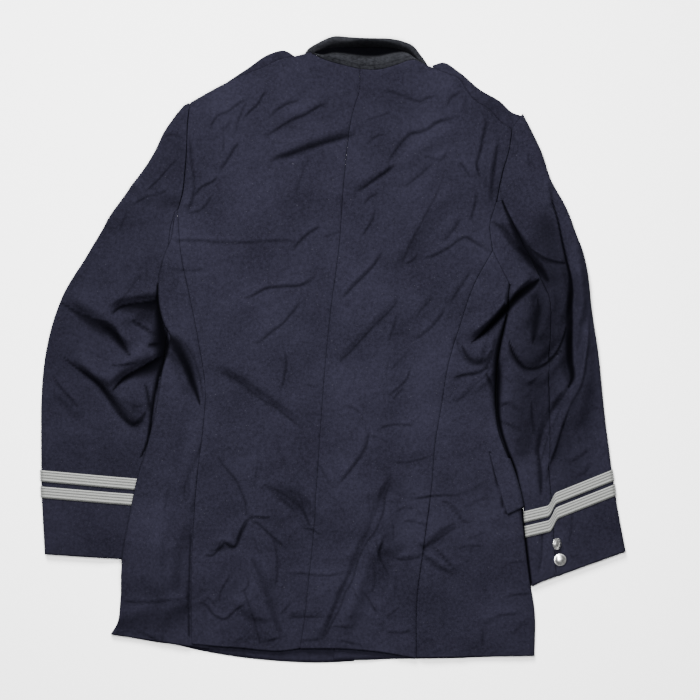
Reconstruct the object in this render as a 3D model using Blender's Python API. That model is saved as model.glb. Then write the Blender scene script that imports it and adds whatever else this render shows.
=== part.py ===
"""Fire service dress jacket, single-breasted, laid out face down on a flat surface.

Every piece that a tailor would cut is one closed wall of cloth. The plan (x across, y towards the
collar) comes from the seam lines, and the height from how the layers lie on each other and from a
table of folds. Sizes are in millimetres until a mesh is made. Left and right are the left and right
of the plan, with the back of the jacket up.
"""
import math
from collections import namedtuple

import bmesh
import bpy
import numpy as np

MM = 0.001


def table(columns, *rows):
    """Return rows of numbers as tuples with named columns."""
    kind = namedtuple("Row", columns)
    return [kind(*row) for row in rows]


# Cloth and trim thicknesses, and the clearances that touching pieces keep.
CLOTH = 2.2
PLATE = 2.0
BRAID = 1.0
FLAP = 1.8
SEAM = 0.45
UNDER_SEAM = 0.9
CLEAR = 0.4
TRIM_CLEAR = 0.5
ARM_GAP = 1.5
FLAP_EDGE = 2.8
BODY_LOFT = 2.6

# Heights at which the under side lies: over lapels and epaulettes, flaps, the tucked sleeve.
CHEST_LIFT = 2.4
FLAP_LIFT = 2.5
TUCK_TOP = 4.9
TUCK_LIFT = 5.6
TUCK_BRAID = 2.9
TUCK_BUTTON = 1.6
BUTTON_LIFT = 3.7

# Rows along the side seams, which the panels on both sides of a seam share.
SIDE_ROWS = 24

# Seam and edge lines of the body, from the hem upwards.
LEFT_EDGE = [(-301, -384), (-293, -371), (-288, -338), (-285, -284), (-276, -230), (-264, -171),
             (-251, -130),
             (-240, -80), (-225, -1), (-220, 18), (-229, 36), (-237, 70), (-229, 126), (-220, 147),
             (-215, 174)]
LEFT_SIDE = [(-191, -397), (-192, -338), (-190, -263), (-181, -148), (-176, -107), (-173, -47), (-182, 12),
             (-194, 74), (-205, 126), (-210, 186)]
LEFT_UNDER = [(-236, -396), (-226, -300), (-208, -200), (-188, -100), (-180, 0), (-182, 100), (-204, 184)]
LEFT_ARMHOLE = [(-210, 186), (-203, 211), (-200, 236), (-197, 275), (-196, 305), (-193, 334)]
RIGHT_EDGE = [(272, -413), (272, -351), (266, -313), (260, -254), (254, -202), (241, -157), (223, -108),
              (220, -70), (222, -20), (234, 49), (238, 88)]
RIGHT_SIDE = [(112, -416), (113, -332), (121, -271), (125, -240), (133, -182), (137, -130), (147, -70),
              (154, -26), (172, 36), (189, 86), (215, 134)]
RIGHT_UNDER = [(257, -413), (250, -330), (240, -250), (225, -200), (205, -130), (195, -60), (196, 0),
               (205, 60), (217, 128)]
RIGHT_ARMHOLE = [(215, 134), (212, 174), (218, 193), (228, 240), (237, 271), (241, 298)]
CENTRE_BACK = [(-45, -403), (-40, -371), (-33, -308), (-27, -251), (-23, -190), (-19, -130), (-15, -70),
               (-4, 51), (8, 142), (15, 236), (28, 326), (35, 348), (36, 375)]
LEFT_HEM = [(-191, -397), (-129, -402), (-67, -406), (-45, -403)]
RIGHT_HEM = [(-45, -403), (9, -403), (67, -408), (112, -416)]
LEFT_SHOULDER = [(-193, 334), (-146, 360), (-119, 372), (-93, 382), (-73, 392), (-50, 397), (-31, 402)]
RIGHT_SHOULDER = [(130, 383), (151, 374), (170, 366), (178, 353), (190, 338), (210, 325), (226, 308),
                  (241, 298)]
LEFT_NECK = [(-31, 402), (-15, 392), (-4, 388), (21, 379), (36, 375)]
RIGHT_NECK = [(36, 375), (61, 378), (85, 384), (108, 391), (130, 383)]
FRONT_LEFT_HEM = [(-236, -396), (-216, -398), (-191, -404), (-150, -412), (-84, -420), (-19, -423),
                  (28, -421)]
FRONT_RIGHT_HEM = [(0, -420), (81, -418), (161, -417), (234, -414), (257, -413)]
LEFT_OPENING = [(28, -421), (45, -150), (62, 80)]
LEFT_ROLL = [(62, 80), (35, 170), (5, 270), (-20, 350), (-31, 402)]
RIGHT_OPENING = [(0, -420), (17, -150), (34, 80)]
RIGHT_ROLL = [(34, 80), (60, 180), (90, 270), (115, 345), (130, 383)]

# Side vents: how far up they open and how far the side body runs on under the back.
VENT_TOP = -262
VENT_LAP = 24

# Sleeve heads: the outer edge opposite each shared point of the armhole, from the shoulder down.
LEFT_HEAD = [(-203, 329), (-214, 316), (-229, 294), (-241, 269), (-255, 246), (-270, 226),
             (-284, 206), (-302, 181)]
RIGHT_HEAD = [(256, 319), (264, 304), (274, 284), (283, 264), (289, 244), (295, 228), (304, 212),
              (313, 196)]

# Sleeve sections from the underarm to the cuff: outer edge, inner edge and loft.
LEFT_SLEEVE = table(
    "outer_x outer_y inner_x inner_y loft",
    (-312, 163, -215.5, 174, 5.0), (-324, 143, -216, 146, 5.0), (-337, 121, -213, 110, 5.0),
    (-361, 83, -213, 62, 5.0), (-375, 50, -215, 20, 5.0), (-390, -12, -221, -42, 4.5),
    (-395, -76, -228, -94, 4.0), (-395, -126, -234, -135, 3.5), (-394, -199, -242, -208, 3.0),
    (-390, -276, -250, -285, 3.0),
)
RIGHT_SLEEVE = table(
    "outer_x outer_y inner_x inner_y loft",
    (321, 178, 228, 112, 6.5), (328, 158, 240, 88, 6.0), (338, 132, 238, 62, 6.0), (344, 102, 234, 34, 6.0),
    (348, 64, 229, 4, 6.0), (353, 30, 224, -30, 5.5), (359, -12, 222, -68, 5.0), (364, -60, 227, -112, 4.5),
    (368, -98, 238, -148, 4.0), (372, -130, 246, -174, 3.5), (382, -202, 258, -240, 3.0),
    (395, -272, 268, -318, 3.0),
)
HEAD_LOFT = 8.0
ARM_ROWS = 7
SLEEVE_ROWS = {"left": 20, "right": 21}
# The row where the inner edge starts to be a fold, and the hind-arm and forearm seams.
UNDERARM_ROW = {"left": 8, "right": 9}
HIND_SEAM = {
    "left": [(-213, 190), (-220, 165), (-222, 110), (-222, 60), (-227, 0), (-238, -94), (-250, -200),
             (-259, -285)],
    "right": [(224, 211), (239, 169), (255, 136), (277, 100), (293, 78), (305, 30), (308, -30), (300, -100),
              (294, -150), (295, -210), (301, -300)],
}
FOREARM = 0.45

# Folds: start, middle and end in the plan, half width, height of the crest, depth of the trough, and
# on which side of the trough the crest stands (1 is left of the way from start to end, -1 right).
FOLD_COLUMNS = "x0 y0 xm ym x1 y1 width crest trough side"
BODY_FOLDS = table(
    FOLD_COLUMNS,
    (37, 293, -14, 278, -83, 250, 10, 5.0, 2.4, -1),
    (-91, 290, -40, 312, 3, 335, 10, 3.0, 0.0, 1),
    (152, 236, 116, 189, 78, 124, 12, 5.0, 2.6, 1),
    (168, 313, 120, 292, 70, 246, 11, 3.5, 1.6, 1),
    (89, 248, 52, 226, 25, 212, 9, 2.6, 2.0, -1),
    (66, -189, 25, -297, -11, -392, 13, 7.5, 2.6, 1),
    (-94, -181, -45, -203, -18, -247, 10, 4.0, 2.0, 1),
    (-117, -230, -133, -263, -164, -274, 9, 3.5, 1.6, -1),
    (-146, -338, -112, -365, -79, -371, 10, 3.5, 1.6, 1),
    (-173, -19, -99, -61, -45, -104, 11, 3.5, 1.8, 1),
    (62, -278, 82, -277, 104, -266, 9, 2.4, 1.0, 1),
    (182, 14, 196, -20, 219, 22, 9, 5.0, 1.0, 1),
    (252, 80, 226, 46, 184, 7, 9, 7.0, 3.0, -1),
    (-222, 24, -203, -1, -185, -59, 9, 4.5, 2.6, -1),
    (-222, -238, -224, -290, -218, -345, 11, 4.0, 2.0, -1),
    (-184, -130, -200, -176, -204, -222, 9, 3.0, 2.0, 1),
    (205, 285, 198, 238, 206, 205, 9, 3.5, 2.0, 1),
)
LEFT_SLEEVE_FOLDS = table(
    FOLD_COLUMNS,
    (-224, 62, -262, 63, -304, 48, 11, 8.0, 4.5, 1),
    (-368, 66, -315, 36, -272, -14, 12, 8.0, 4.5, 1),
    (-363, -14, -320, -46, -266, -106, 12, 8.5, 4.5, 1),
    (-232, -14, -276, -28, -296, -58, 12, 7.5, 4.5, -1),
    (-236, 204, -252, 222, -262, 236, 8, 4.0, 2.0, 1),
    (-384, -60, -364, -76, -350, -98, 9, 3.0, 1.5, 1),
)
RIGHT_SLEEVE_FOLDS = table(
    FOLD_COLUMNS,
    (316, 122, 323, 60, 294, 10, 10, 7.0, 4.0, 1),
    (330, 40, 326, -30, 312, -110, 12, 8.0, 4.0, 1),
    (218, 176, 242, 158, 264, 130, 9, 4.0, 3.0, 1),
    (279, 84, 275, 49, 258, 14, 10, 6.0, 4.0, 1),
    (244, -4, 270, -28, 304, 10, 9, 5.0, 3.0, -1),
    (292, -72, 284, -104, 280, -150, 10, 5.0, 3.5, 1),
)

# Lapels lie under the fronts: roll line and free edge, from the break up to the gorge.
LAPELS = {
    "left": table(
        "roll_x roll_y edge_x edge_y",
        (53, 100, 44, 96), (35, 168, -18, 152), (5, 268, -72, 234), (-8, 310, -86, 284)),
    "right": table(
        "roll_x roll_y edge_x edge_y",
        (54, 152, 62, 148), (64, 182, 104, 166), (92, 270, 168, 236), (102, 302, 180, 276)),
}

# Collar: sections from one notch round the back of the neck to the other. Free edge, roll line and
# how far the section stands up from the surface (0 where it lies under the fronts).
COLLAR_LEAF = table(
    "edge_x edge_y roll_x roll_y stand",
    (-68, 305, -14, 322, 0.0), (-52, 340, -22, 350, 0.0), (-44, 374, -30, 376, 0.0),
    (-41, 396, -36, 393, 0.0),
    (-35, 406, -29, 404.5, 0.0), (-20, 415, -16, 407, 0.7), (1, 423, 4, 411, 1.0), (40, 421, 40, 411, 1.0),
    (74, 420, 72, 411, 1.0), (95, 416, 92, 408, 1.0), (107, 411, 103, 403, 0.8), (117, 400, 112, 396, 0.35),
    (129, 381, 122, 379, 0.0), (128, 360, 117, 362, 0.0), (136, 334, 112, 340, 0.0),
    (162, 297, 105, 314, 0.0),
)
COLLAR_STAND = table(
    "neck_x neck_y roll_x roll_y stand",
    (-29, 401.2, -27, 402.8, 0.2), (-14, 392.2, -13, 406, 0.7), (5, 386, 5, 409.5, 1.0),
    (36, 375.8, 38, 409.5, 1.0),
    (61, 379, 64, 409.5, 1.0), (85, 385, 88, 406.5, 0.9), (106, 391, 101, 401, 0.5),
    (116, 389.6, 112, 394, 0.2),
)
NECK_HEIGHT = 10.5
ROLL_HEIGHT = 4.6
LEAF_HEIGHT = 12.5
STAND_CREST = 3.6

# Epaulettes: edge that shows past the shoulder and edge under the front, from sleeve to collar.
EPAULETTES = {
    "left": table(
        "show_x show_y hidden_x hidden_y",
        (-187, 333, -170, 296), (-146, 361, -126, 320), (-116, 381, -98, 336), (-85, 401, -70, 352),
        (-66, 405, -58, 362), (-50, 396, -54, 384)),
    "right": table(
        "show_x show_y hidden_x hidden_y",
        (239, 321, 219, 284), (222, 336, 196, 298), (197, 350, 172, 314), (169, 377, 150, 332),
        (148, 389, 140, 350), (134, 385, 136, 366)),
}

# Pocket flaps: rear end and front end, from the lower edge up. The right one wraps round the edge.
RIGHT_FLAP_REAR = [(236, -221), (229, -200), (221, -172), (214, -143)]
RIGHT_FLAP_FRONT = [(108, -212), (106, -190), (104, -166), (102, -140)]
RIGHT_FLAP_EDGE = (-212, -146)
LEFT_FLAP = table(
    "rear_x rear_y front_x front_y",
    (-204, -206, -62, -212), (-206, -182, -60, -188), (-208, -158, -58, -164), (-209, -146, -57, -152))

# Braid bands: distance of the upper edge of each from the cuff end, at the outer and inner edge.
BRAID_WIDTH = 15.4
BRAIDS = table(
    "side name outer inner",
    ("left", "upper", 114.0, 109.5), ("left", "lower", 92.0, 88.5),
    ("right", "upper", 112.0, 103.0), ("right", "lower", 92.0, 83.0))
# The right cuff is twisted at its vent, so the bands step down there.
BRAID_MIDDLE = {"left": 0.0, "right": -5.0}
BRAID_STEP = {"left": 0.0, "right": 15.0}
BRAID_STEP_AT = 0.60

# Buttons: where they sit in the plan, how they lean, radius and height.
BUTTON_COLUMNS = "name x y lean radius height"
RIGHT_CUFF_BUTTONS = table(
    BUTTON_COLUMNS,
    ("cuff_button_right_1", 301, -261, 38.0, 8.0, 4.4), ("cuff_button_right_2", 306, -283, 0.0, 8.4, 4.4))
LEFT_CUFF_BUTTONS = table(
    BUTTON_COLUMNS,
    ("cuff_button_left_1", -262, -256, 0.0, 8.0, 2.8), ("cuff_button_left_2", -263, -274, 0.0, 8.0, 2.8))
FRONT_BUTTONS = table(
    BUTTON_COLUMNS,
    ("front_button_1", 41, 52, 0.0, 11.0, 3.0), ("front_button_2", 33, -36, 0.0, 11.0, 3.0),
    ("front_button_3", 26, -124, 0.0, 11.0, 3.0), ("front_button_4", 20, -212, 0.0, 11.0, 3.0))
BUTTON_PROFILE = table("radius height", (0, 0), (0.92, 0), (1.0, 0.22), (0.90, 0.48), (0.55, 0.86),
(0, 1.0))
BUTTON_STEPS = 14

COLOURS = {
    "wool": (0.032, 0.034, 0.052),
    "felt": (0.060, 0.062, 0.068),
    "braid": (0.46, 0.47, 0.45),
    "button": (0.55, 0.55, 0.54),
}


FAR = 1e9
FOLD_STEPS = 8


def ease(start, end, value):
    """Return 0 at start and 1 at end, eased at both."""
    share = np.clip((value - start) / (end - start), 0.0, 1.0)
    return share * share * (3.0 - 2.0 * share)


def smooth_line(points, where):
    """Return the places at the fractions `where` along a smooth line through the points."""
    knots = np.array(points, dtype=float)
    steps = np.linalg.norm(np.diff(knots[:, :2], axis=0), axis=1)
    reach = np.concatenate(([0.0], np.cumsum(steps)))
    reach /= reach[-1]
    if len(knots) > 2:
        slope = np.gradient(knots, reach, axis=0)
    else:
        slope = np.repeat(knots[1:] - knots[:1], 2, axis=0)
    where = np.asarray(where, dtype=float)
    at = np.clip(np.searchsorted(reach, where, side="right") - 1, 0, len(knots) - 2)
    gap = (reach[at + 1] - reach[at])[:, None]
    s = ((where - reach[at])[:, None]) / gap
    return ((2 * s**3 - 3 * s**2 + 1) * knots[at] + (s**3 - 2 * s**2 + s) * gap * slope[at]
            + (3 * s**2 - 2 * s**3) * knots[at + 1] + (s**3 - s**2) * gap * slope[at + 1])


def smooth_rows(rows, count):
    """Interpolate the sections of a table to a count of rows, and return its columns by name."""
    return type(rows[0])(*smooth_line(rows, np.linspace(0, 1, count)).T)


def between(from_x, from_y, to_x, to_y, count):
    """Return a plan grid with a count of points across, from one line to the other."""
    start = np.column_stack((from_x, from_y))[:, None]
    end = np.column_stack((to_x, to_y))[:, None]
    return start + np.linspace(0, 1, count)[None, :, None] * (end - start)


def chain(first, second, first_count, second_count):
    """Return a line of two smooth stretches that share a corner."""
    start = smooth_line(first, np.linspace(0, 1, first_count + 1))
    end = smooth_line(second, np.linspace(0, 1, second_count + 1))
    return np.vstack((start, end[1:]))


def patch(bottom, top, left, right):
    """Fill four joined lines with a grid of plan points, row by row from the bottom."""
    rows, columns = len(left), len(bottom)
    v = np.linspace(0, 1, rows)[:, None, None]
    u = np.linspace(0, 1, columns)[None, :, None]
    along = (1 - v) * bottom[None] + v * top[None]
    across = (1 - u) * left[:, None] + u * right[:, None]
    corners = ((1 - u) * (1 - v) * bottom[0] + u * (1 - v) * bottom[-1]
               + (1 - u) * v * top[0] + u * v * top[-1])
    return along + across - corners


def line_x(line):
    """Return a function that gives the line's x at a height y in the plan."""
    fine = smooth_line(line, np.linspace(0, 1, 240))
    order = np.argsort(fine[:, 1])
    return lambda y: np.interp(y, fine[order, 1], fine[order, 0])


def distance_to(line, x, y, count=40):
    """Return how far each plan point lies from a line."""
    fine = smooth_line(line, np.linspace(0, 1, count))
    best = np.full(np.shape(x), FAR)
    for px, py in fine:
        best = np.minimum(best, np.hypot(x - px, y - py))
    return best


def fold_height(folds, x, y):
    """Add up the crests and troughs of a table of folds at plan points."""
    total = np.zeros(np.shape(x))
    for fold in folds:
        route = smooth_line([(fold.x0, fold.y0), (fold.xm, fold.ym), (fold.x1, fold.y1)],
                            np.linspace(0, 1, FOLD_STEPS + 1))
        near = np.full(np.shape(x), FAR)
        signed = np.zeros(np.shape(x))
        along = np.zeros(np.shape(x))
        for index in range(FOLD_STEPS):
            ax, ay = route[index]
            dx, dy = route[index + 1] - route[index]
            share = np.clip(((x - ax) * dx + (y - ay) * dy) / (dx * dx + dy * dy), 0, 1)
            away = np.hypot(x - ax - share * dx, y - ay - share * dy)
            turn = np.sign(dx * (y - ay) - dy * (x - ax))
            closer = away < near
            near = np.where(closer, away, near)
            signed = np.where(closer, away * turn, signed)
            along = np.where(closer, (index + share) / FOLD_STEPS, along)
        taper = ease(0, 0.25, along) * ease(1, 0.75, along)
        ridge = fold.crest * np.exp(-((signed - fold.side * 1.15 * fold.width) / fold.width) ** 2)
        valley = fold.trough * np.exp(-(signed / (0.7 * fold.width)) ** 2)
        total += taper * (ridge - valley)
    return total


left_edge_x = line_x(LEFT_EDGE)
right_edge_x = line_x(RIGHT_EDGE)
left_side_x = line_x(LEFT_SIDE)
right_side_x = line_x(RIGHT_SIDE)
left_opening_x = line_x(LEFT_OPENING)
right_opening_x = line_x(RIGHT_OPENING)
tucked_x = line_x([(row.inner_x, row.inner_y) for row in LEFT_SLEEVE])


def tuck_lift(x, y):
    """Height at which the body's left edge lies over the tucked sleeve, its braid and its buttons."""
    height = TUCK_LIFT + TUCK_BRAID * ease(-95, -128, y) + TUCK_BUTTON * ease(-205, -232, y)
    inside = ease(46, 8, x - tucked_x(y))
    return height * inside * ease(-345, -300, y) * ease(230, 196, y)


def box_lift(x, y, low, high, margin, height):
    """Height of a layer that lies over a rectangular piece, let down again past its margin."""
    past = np.maximum.reduce([low[0] - x, x - high[0], low[1] - y, y - high[1]])
    return height * ease(2.4 * margin, margin, past)


def body_under(x, y):
    """Outer height of the body's under side."""
    height = CHEST_LIFT * ease(30, 66, y)
    height = np.maximum(height, box_lift(x, y, (-209, -212), (-57, -146), 26, FLAP_LIFT))
    height = np.maximum(height, box_lift(x, y, (102, -222), (300, -140), 26, FLAP_LIFT))
    middle = left_opening_x(y) - 14
    buttons = BUTTON_LIFT * ease(62, 26, np.abs(x - middle)) * ease(-262, -236, y) * ease(104, 78, y)
    return np.maximum(np.maximum(height, buttons), tuck_lift(x, y))


def overlap_lift(x, y):
    """Extra height where the right front lies over the left front."""
    return (CLOTH + CLEAR) * ease(52, 16, x - left_opening_x(y)) * ease(190, 140, y)


def right_front_under(x, y):
    """Outer height of the right front."""
    return body_under(x, y) + overlap_lift(x, y)


def fronts_top(x, y):
    """Height of the upper side of whatever lies under the back."""
    strip = overlap_lift(x, y) * ease(-52, -16, x - right_opening_x(y))
    return body_under(x, y) + strip + CLOTH


def vent_share(y):
    """1 along the open vents, 0 above them."""
    return ease(VENT_TOP + 72, VENT_TOP + 42, y)


def body_top(x, y):
    """Outer height of the back."""
    shoulder = np.minimum(distance_to(LEFT_SHOULDER, x, y), distance_to(RIGHT_SHOULDER, x, y))
    pad = 5.0 * ease(150, 40, shoulder)
    from_seam = np.minimum(np.abs(x - left_side_x(y)), np.abs(x - right_side_x(y)))
    near_vent = ease(70, 30, from_seam)
    loft = (BODY_LOFT + pad + 1.6 * vent_share(y) * near_vent) * np.sqrt(ease(-3, 34, shoulder))
    rise = np.maximum(loft + fold_height(BODY_FOLDS, x, y) * ease(2, 30, shoulder), CLEAR)
    return fronts_top(x, y) + CLEAR + rise + CLOTH


def left_side_top(x, y):
    """Outer height of the left side body, which runs on under the back along the vent."""
    return body_top(x, y) - (CLOTH + 0.8) * vent_share(y) * ease(-8, -1.5, x - left_side_x(y))


def right_side_top(x, y):
    """Outer height of the right side body, which runs on under the back along the vent."""
    return body_top(x, y) - (CLOTH + 0.8) * vent_share(y) * ease(-8, -1.5, right_side_x(y) - x)


class Sleeve:
    """A two-piece sleeve, flattened on the surface, in rows from the shoulder to the cuff."""

    def __init__(self, side, head, sections, folds, armhole):
        self.side = side
        self.folds = folds
        gap = np.array((SEAM if side == "right" else -SEAM, 0.0))
        shared = smooth_line(armhole, np.linspace(0, 1, ARM_ROWS + 1))[::-1] + gap
        lower = smooth_rows(sections, SLEEVE_ROWS[side])
        inner_x = lower.inner_x.copy()
        if side == "right":
            flap = ease(-108, -128, lower.inner_y) - ease(-236, -256, lower.inner_y)
            beside = ARM_GAP + FLAP_EDGE * flap
            inner_x[1:] = (right_edge_x(lower.inner_y) + beside)[1:]
        self.outer = np.vstack((head, np.column_stack((lower.outer_x, lower.outer_y))))
        self.inner = np.vstack((shared, np.column_stack((inner_x, lower.inner_y))))
        self.loft = np.concatenate((np.full(len(head), HEAD_LOFT), lower.loft))
        self.count = len(self.outer)
        self.open = np.arange(self.count) < UNDERARM_ROW[side]
        self.width = np.linalg.norm(self.inner - self.outer, axis=1)
        self.hind = self.seam_share(HIND_SEAM[side])
        self.first_hind = int(np.argmax(self.hind < 1.0)) - 1
        self.hind = np.minimum(self.hind, 1 - 0.9 / self.width)

    def seam_share(self, seam):
        """Share of the width at which each row crosses a seam, 1 above the start of the seam."""
        fine = smooth_line(seam, np.linspace(0, 1, 300))
        shares = np.linspace(0, 1, 300)[:, None]
        result = np.ones(self.count)
        for row in range(self.count):
            line = self.outer[row] + shares * (self.inner[row] - self.outer[row])
            away = np.hypot(line[:, None, 0] - fine[None, :, 0], line[:, None, 1] - fine[None, :, 1])
            best = np.unravel_index(np.argmin(away), away.shape)
            if away[best] < 3.0 and best[1] > 0:
                result[row] = shares[best[0], 0]
        return result

    def across(self, share):
        """Plan point of each row at a share of the way from its outer to its inner edge."""
        return self.outer + np.broadcast_to(share, (self.count,))[:, None] * (self.inner - self.outer)

    def top(self, x, y):
        """Outer height of the upper side."""
        loft = np.interp(y, self.outer[::-1, 1], self.loft[::-1])
        rise = np.maximum(loft + fold_height(self.folds, x, y), CLEAR)
        height = self.under(x, y) + 2 * CLOTH + rise
        if self.side == "left":
            inside = ease(-34, -7, x - left_edge_x(y)) * ease(212, 189, y)
            height = height + (TUCK_TOP + self.under(x, y) - height) * inside
        return height

    def under(self, x, y):
        """Outer height of the under side, lifted by the braid round the cuff."""
        return (BRAID + TRIM_CLEAR) * ease(-104, -126, y) + 0.0 * x


def fold_skin(seam_top, edge, seam_under, top_z, under_z, out, counts, bend=None, tail=None, opened=None):
    """Points of a skin that runs from its seam on top, round the folded edge, to its seam below.

    out moves the skin outwards. counts are the columns on top, round the fold and below. bend gives
    the shift of a plan point from the share of the way from edge to seam and the row. tail gives, for
    each row, how far from the end of the top the columns lie that come before the even ones. opened
    marks the rows whose edge isn't folded, where both sides reach the edge.
    """
    top_count, arc_count, under_count = counts
    skin = []
    for row in range(len(edge)):
        def place(share, seam):
            flat = edge[row] + np.outer(share, seam[row] - edge[row])
            if bend is not None:
                flat = flat + bend(share, row, seam is seam_top)
            return flat

        wide = np.linalg.norm(seam_top[row] - edge[row])
        wide_under = np.linalg.norm(seam_under[row] - edge[row])
        start = place(np.array([min(4.0 / wide, 0.4)]), seam_top)
        half = (top_z(start[:, 0], start[:, 1])[0] - under_z(start[:, 0], start[:, 1])[0]) / 2
        share_top = min(half / wide, 0.42)
        share_under = min(half / wide_under, 0.42)
        if opened is not None and opened[row]:
            share_top = share_under = 0.0
        start = place(np.array([share_top]), seam_top)
        begin_z = top_z(start[:, 0], start[:, 1])[0]
        start = place(np.array([share_under]), seam_under)
        end_z = under_z(start[:, 0], start[:, 1])[0]
        middle, half = (begin_z + end_z) / 2, (begin_z - end_z) / 2

        extra = [] if tail is None else [1 - back / wide for back in tail[row]]
        first = extra[-1] if extra else 1.0
        even = np.linspace(first, share_top, top_count)
        share = np.concatenate(([1.0] + extra[:-1], even)) if extra else even
        flat = place(share, seam_top)
        points = [np.column_stack((flat, top_z(flat[:, 0], flat[:, 1]) + out))]
        for angle in np.linspace(0, math.pi, arc_count + 2)[1:-1]:
            above = angle <= math.pi / 2 + 1e-6
            share_arc, seam = (share_top, seam_top) if above else (share_under, seam_under)
            reach = (half + out) / half
            flat = place(np.array([share_arc * (1 - reach * math.sin(angle))]), seam)
            points.append(np.column_stack((flat, [middle + (half + out) * math.cos(angle)])))
        share = np.linspace(share_under, 1, under_count)
        flat = place(share, seam_under)
        points.append(np.column_stack((flat, under_z(flat[:, 0], flat[:, 1]) - out)))
        skin.append(np.vstack(points))
    return np.array(skin)


def material(kind):
    """Return the plain finish of one kind of cloth or metal."""
    name = "finish_" + kind
    if name in bpy.data.materials:
        return bpy.data.materials[name]
    finish = bpy.data.materials.new(name)
    finish.use_nodes = True
    shader = finish.node_tree.nodes["Principled BSDF"]
    shader.inputs["Base Color"].default_value = COLOURS[kind] + (1.0,)
    metal = kind == "button"
    shader.inputs["Roughness"].default_value = 0.3 if metal else 0.85
    shader.inputs["Metallic"].default_value = 1.0 if metal else 0.0
    return finish


def finish_object(name, mesh_data, kind):
    """Turn a bmesh into a named object with outward faces and its finish."""
    bmesh.ops.recalc_face_normals(mesh_data, faces=mesh_data.faces)
    mesh = bpy.data.meshes.new(name)
    mesh_data.to_mesh(mesh)
    mesh_data.free()
    mesh.shade_smooth()
    mesh.set_sharp_from_angle(angle=math.radians(40))
    piece = bpy.data.objects.new(name, mesh)
    piece.data.materials.append(material(kind))
    bpy.context.scene.collection.objects.link(piece)
    return piece


def wall(name, outer, inner, kind="wool", ring=False, keep=None):
    """Make one closed wall between two skins of the same grid.

    ring joins the last column to the first, and keep marks the cells that have cloth.
    """
    rows, columns = outer.shape[:2]
    mesh_data = bmesh.new()
    corners = {}

    def corner(skin, i, j):
        key = (skin, i, j % columns)
        if key not in corners:
            corners[key] = mesh_data.verts.new((outer, inner)[skin][i, j % columns] * MM)
        return corners[key]

    sides = set()
    for i in range(rows - 1):
        for j in range(columns if ring else columns - 1):
            if keep is not None and not keep[i, j]:
                continue
            loop = [(i, j), (i, j + 1), (i + 1, j + 1), (i + 1, j)]
            for skin in (0, 1):
                mesh_data.faces.new([corner(skin, *place) for place in loop])
            loop = [(a, b % columns) for a, b in loop]
            sides.update(zip(loop, loop[1:] + loop[:1]))
    for first, second in sides:
        if (second, first) not in sides:
            rim = ((0, first), (0, second), (1, second), (1, first))
            mesh_data.faces.new([corner(skin, *place) for skin, place in rim])
    return finish_object(name, mesh_data, kind)


def sheet_wall(name, plan, top_z, thickness=CLOTH, above=True, kind="wool"):
    """Make a wall over a plan grid: its outer skin at top_z, its inner skin one thickness inside."""
    x, y = plan[..., 0], plan[..., 1]
    height = top_z(x, y)
    inside = height - thickness if above else height + thickness
    return wall(name, np.dstack((plan, height)), np.dstack((plan, inside)), kind)


def inset(line, dx, dy=0.0):
    """Return a line moved by the clearance of a seam."""
    return line + np.array((dx, dy))


def make_backs():
    """The two back panels, sewn at the centre back."""
    side_rows, arm_rows, shoulder_columns, neck_columns = SIDE_ROWS, ARM_ROWS, 9, 5
    fractions = np.linspace(0, 1, side_rows + arm_rows + 1)
    gap = SEAM / 2
    centre = smooth_line(CENTRE_BACK, fractions)
    columns = np.linspace(0, 1, shoulder_columns + neck_columns + 1)

    left = inset(chain(LEFT_SIDE, LEFT_ARMHOLE, side_rows, arm_rows), gap)
    right = inset(centre, -gap)
    top = chain(LEFT_SHOULDER, LEFT_NECK, shoulder_columns, neck_columns)
    bottom = smooth_line(LEFT_HEM, columns)
    left[0], left[-1], right[0], right[-1] = bottom[0], top[0], bottom[-1] - (gap, 0), top[-1] - (gap, 0)
    bottom[0], top[0] = left[0], left[-1]
    bottom[-1], top[-1] = right[0], right[-1]
    sheet_wall("back_left", patch(bottom, top, left, right), body_top)

    left = inset(centre, gap)
    right = inset(chain(RIGHT_SIDE, RIGHT_ARMHOLE, side_rows, arm_rows), -gap)
    top = chain(RIGHT_NECK, RIGHT_SHOULDER, neck_columns, shoulder_columns)
    bottom = smooth_line(RIGHT_HEM, columns)
    bottom[0], top[0] = bottom[0] + (gap, 0), top[0] + (gap, 0)
    bottom[-1], top[-1] = bottom[-1] - (gap, 0), top[-1] - (gap, 0)
    left[0], left[-1], right[0], right[-1] = bottom[0], top[0], bottom[-1], top[-1]
    sheet_wall("back_right", patch(bottom, top, left, right), body_top)


def make_sides():
    """The side bodies, wrapped round the folded edges, each running on under the back at its vent."""
    fractions = np.linspace(0, 1, SIDE_ROWS + 1)
    counts = (4, 3, 4)
    for side, seam, edge, under, top_z, under_z, way in (
            ("left", [(-192, -404)] + LEFT_SIDE[1:], LEFT_EDGE, LEFT_UNDER, left_side_top, body_under, 1),
            ("right", RIGHT_SIDE, RIGHT_EDGE, RIGHT_UNDER, right_side_top, right_front_under, -1)):
        seam_top = smooth_line(seam, fractions)
        lap = VENT_LAP * ease(VENT_TOP + 14, VENT_TOP - 10, seam_top[:, 1])
        seam_top[:, 0] += way * (lap - SEAM / 2)
        tail = [(step + 1.2, step + 9.0) for step in lap]
        seam_under = inset(smooth_line(under, fractions), -way * UNDER_SEAM / 2)
        edge_line = smooth_line(edge, fractions)
        skins = [fold_skin(seam_top, edge_line, seam_under, top_z, under_z, out, counts, tail=tail)
                 for out in (0, -CLOTH)]
        wall("side_" + side, *skins)


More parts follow.
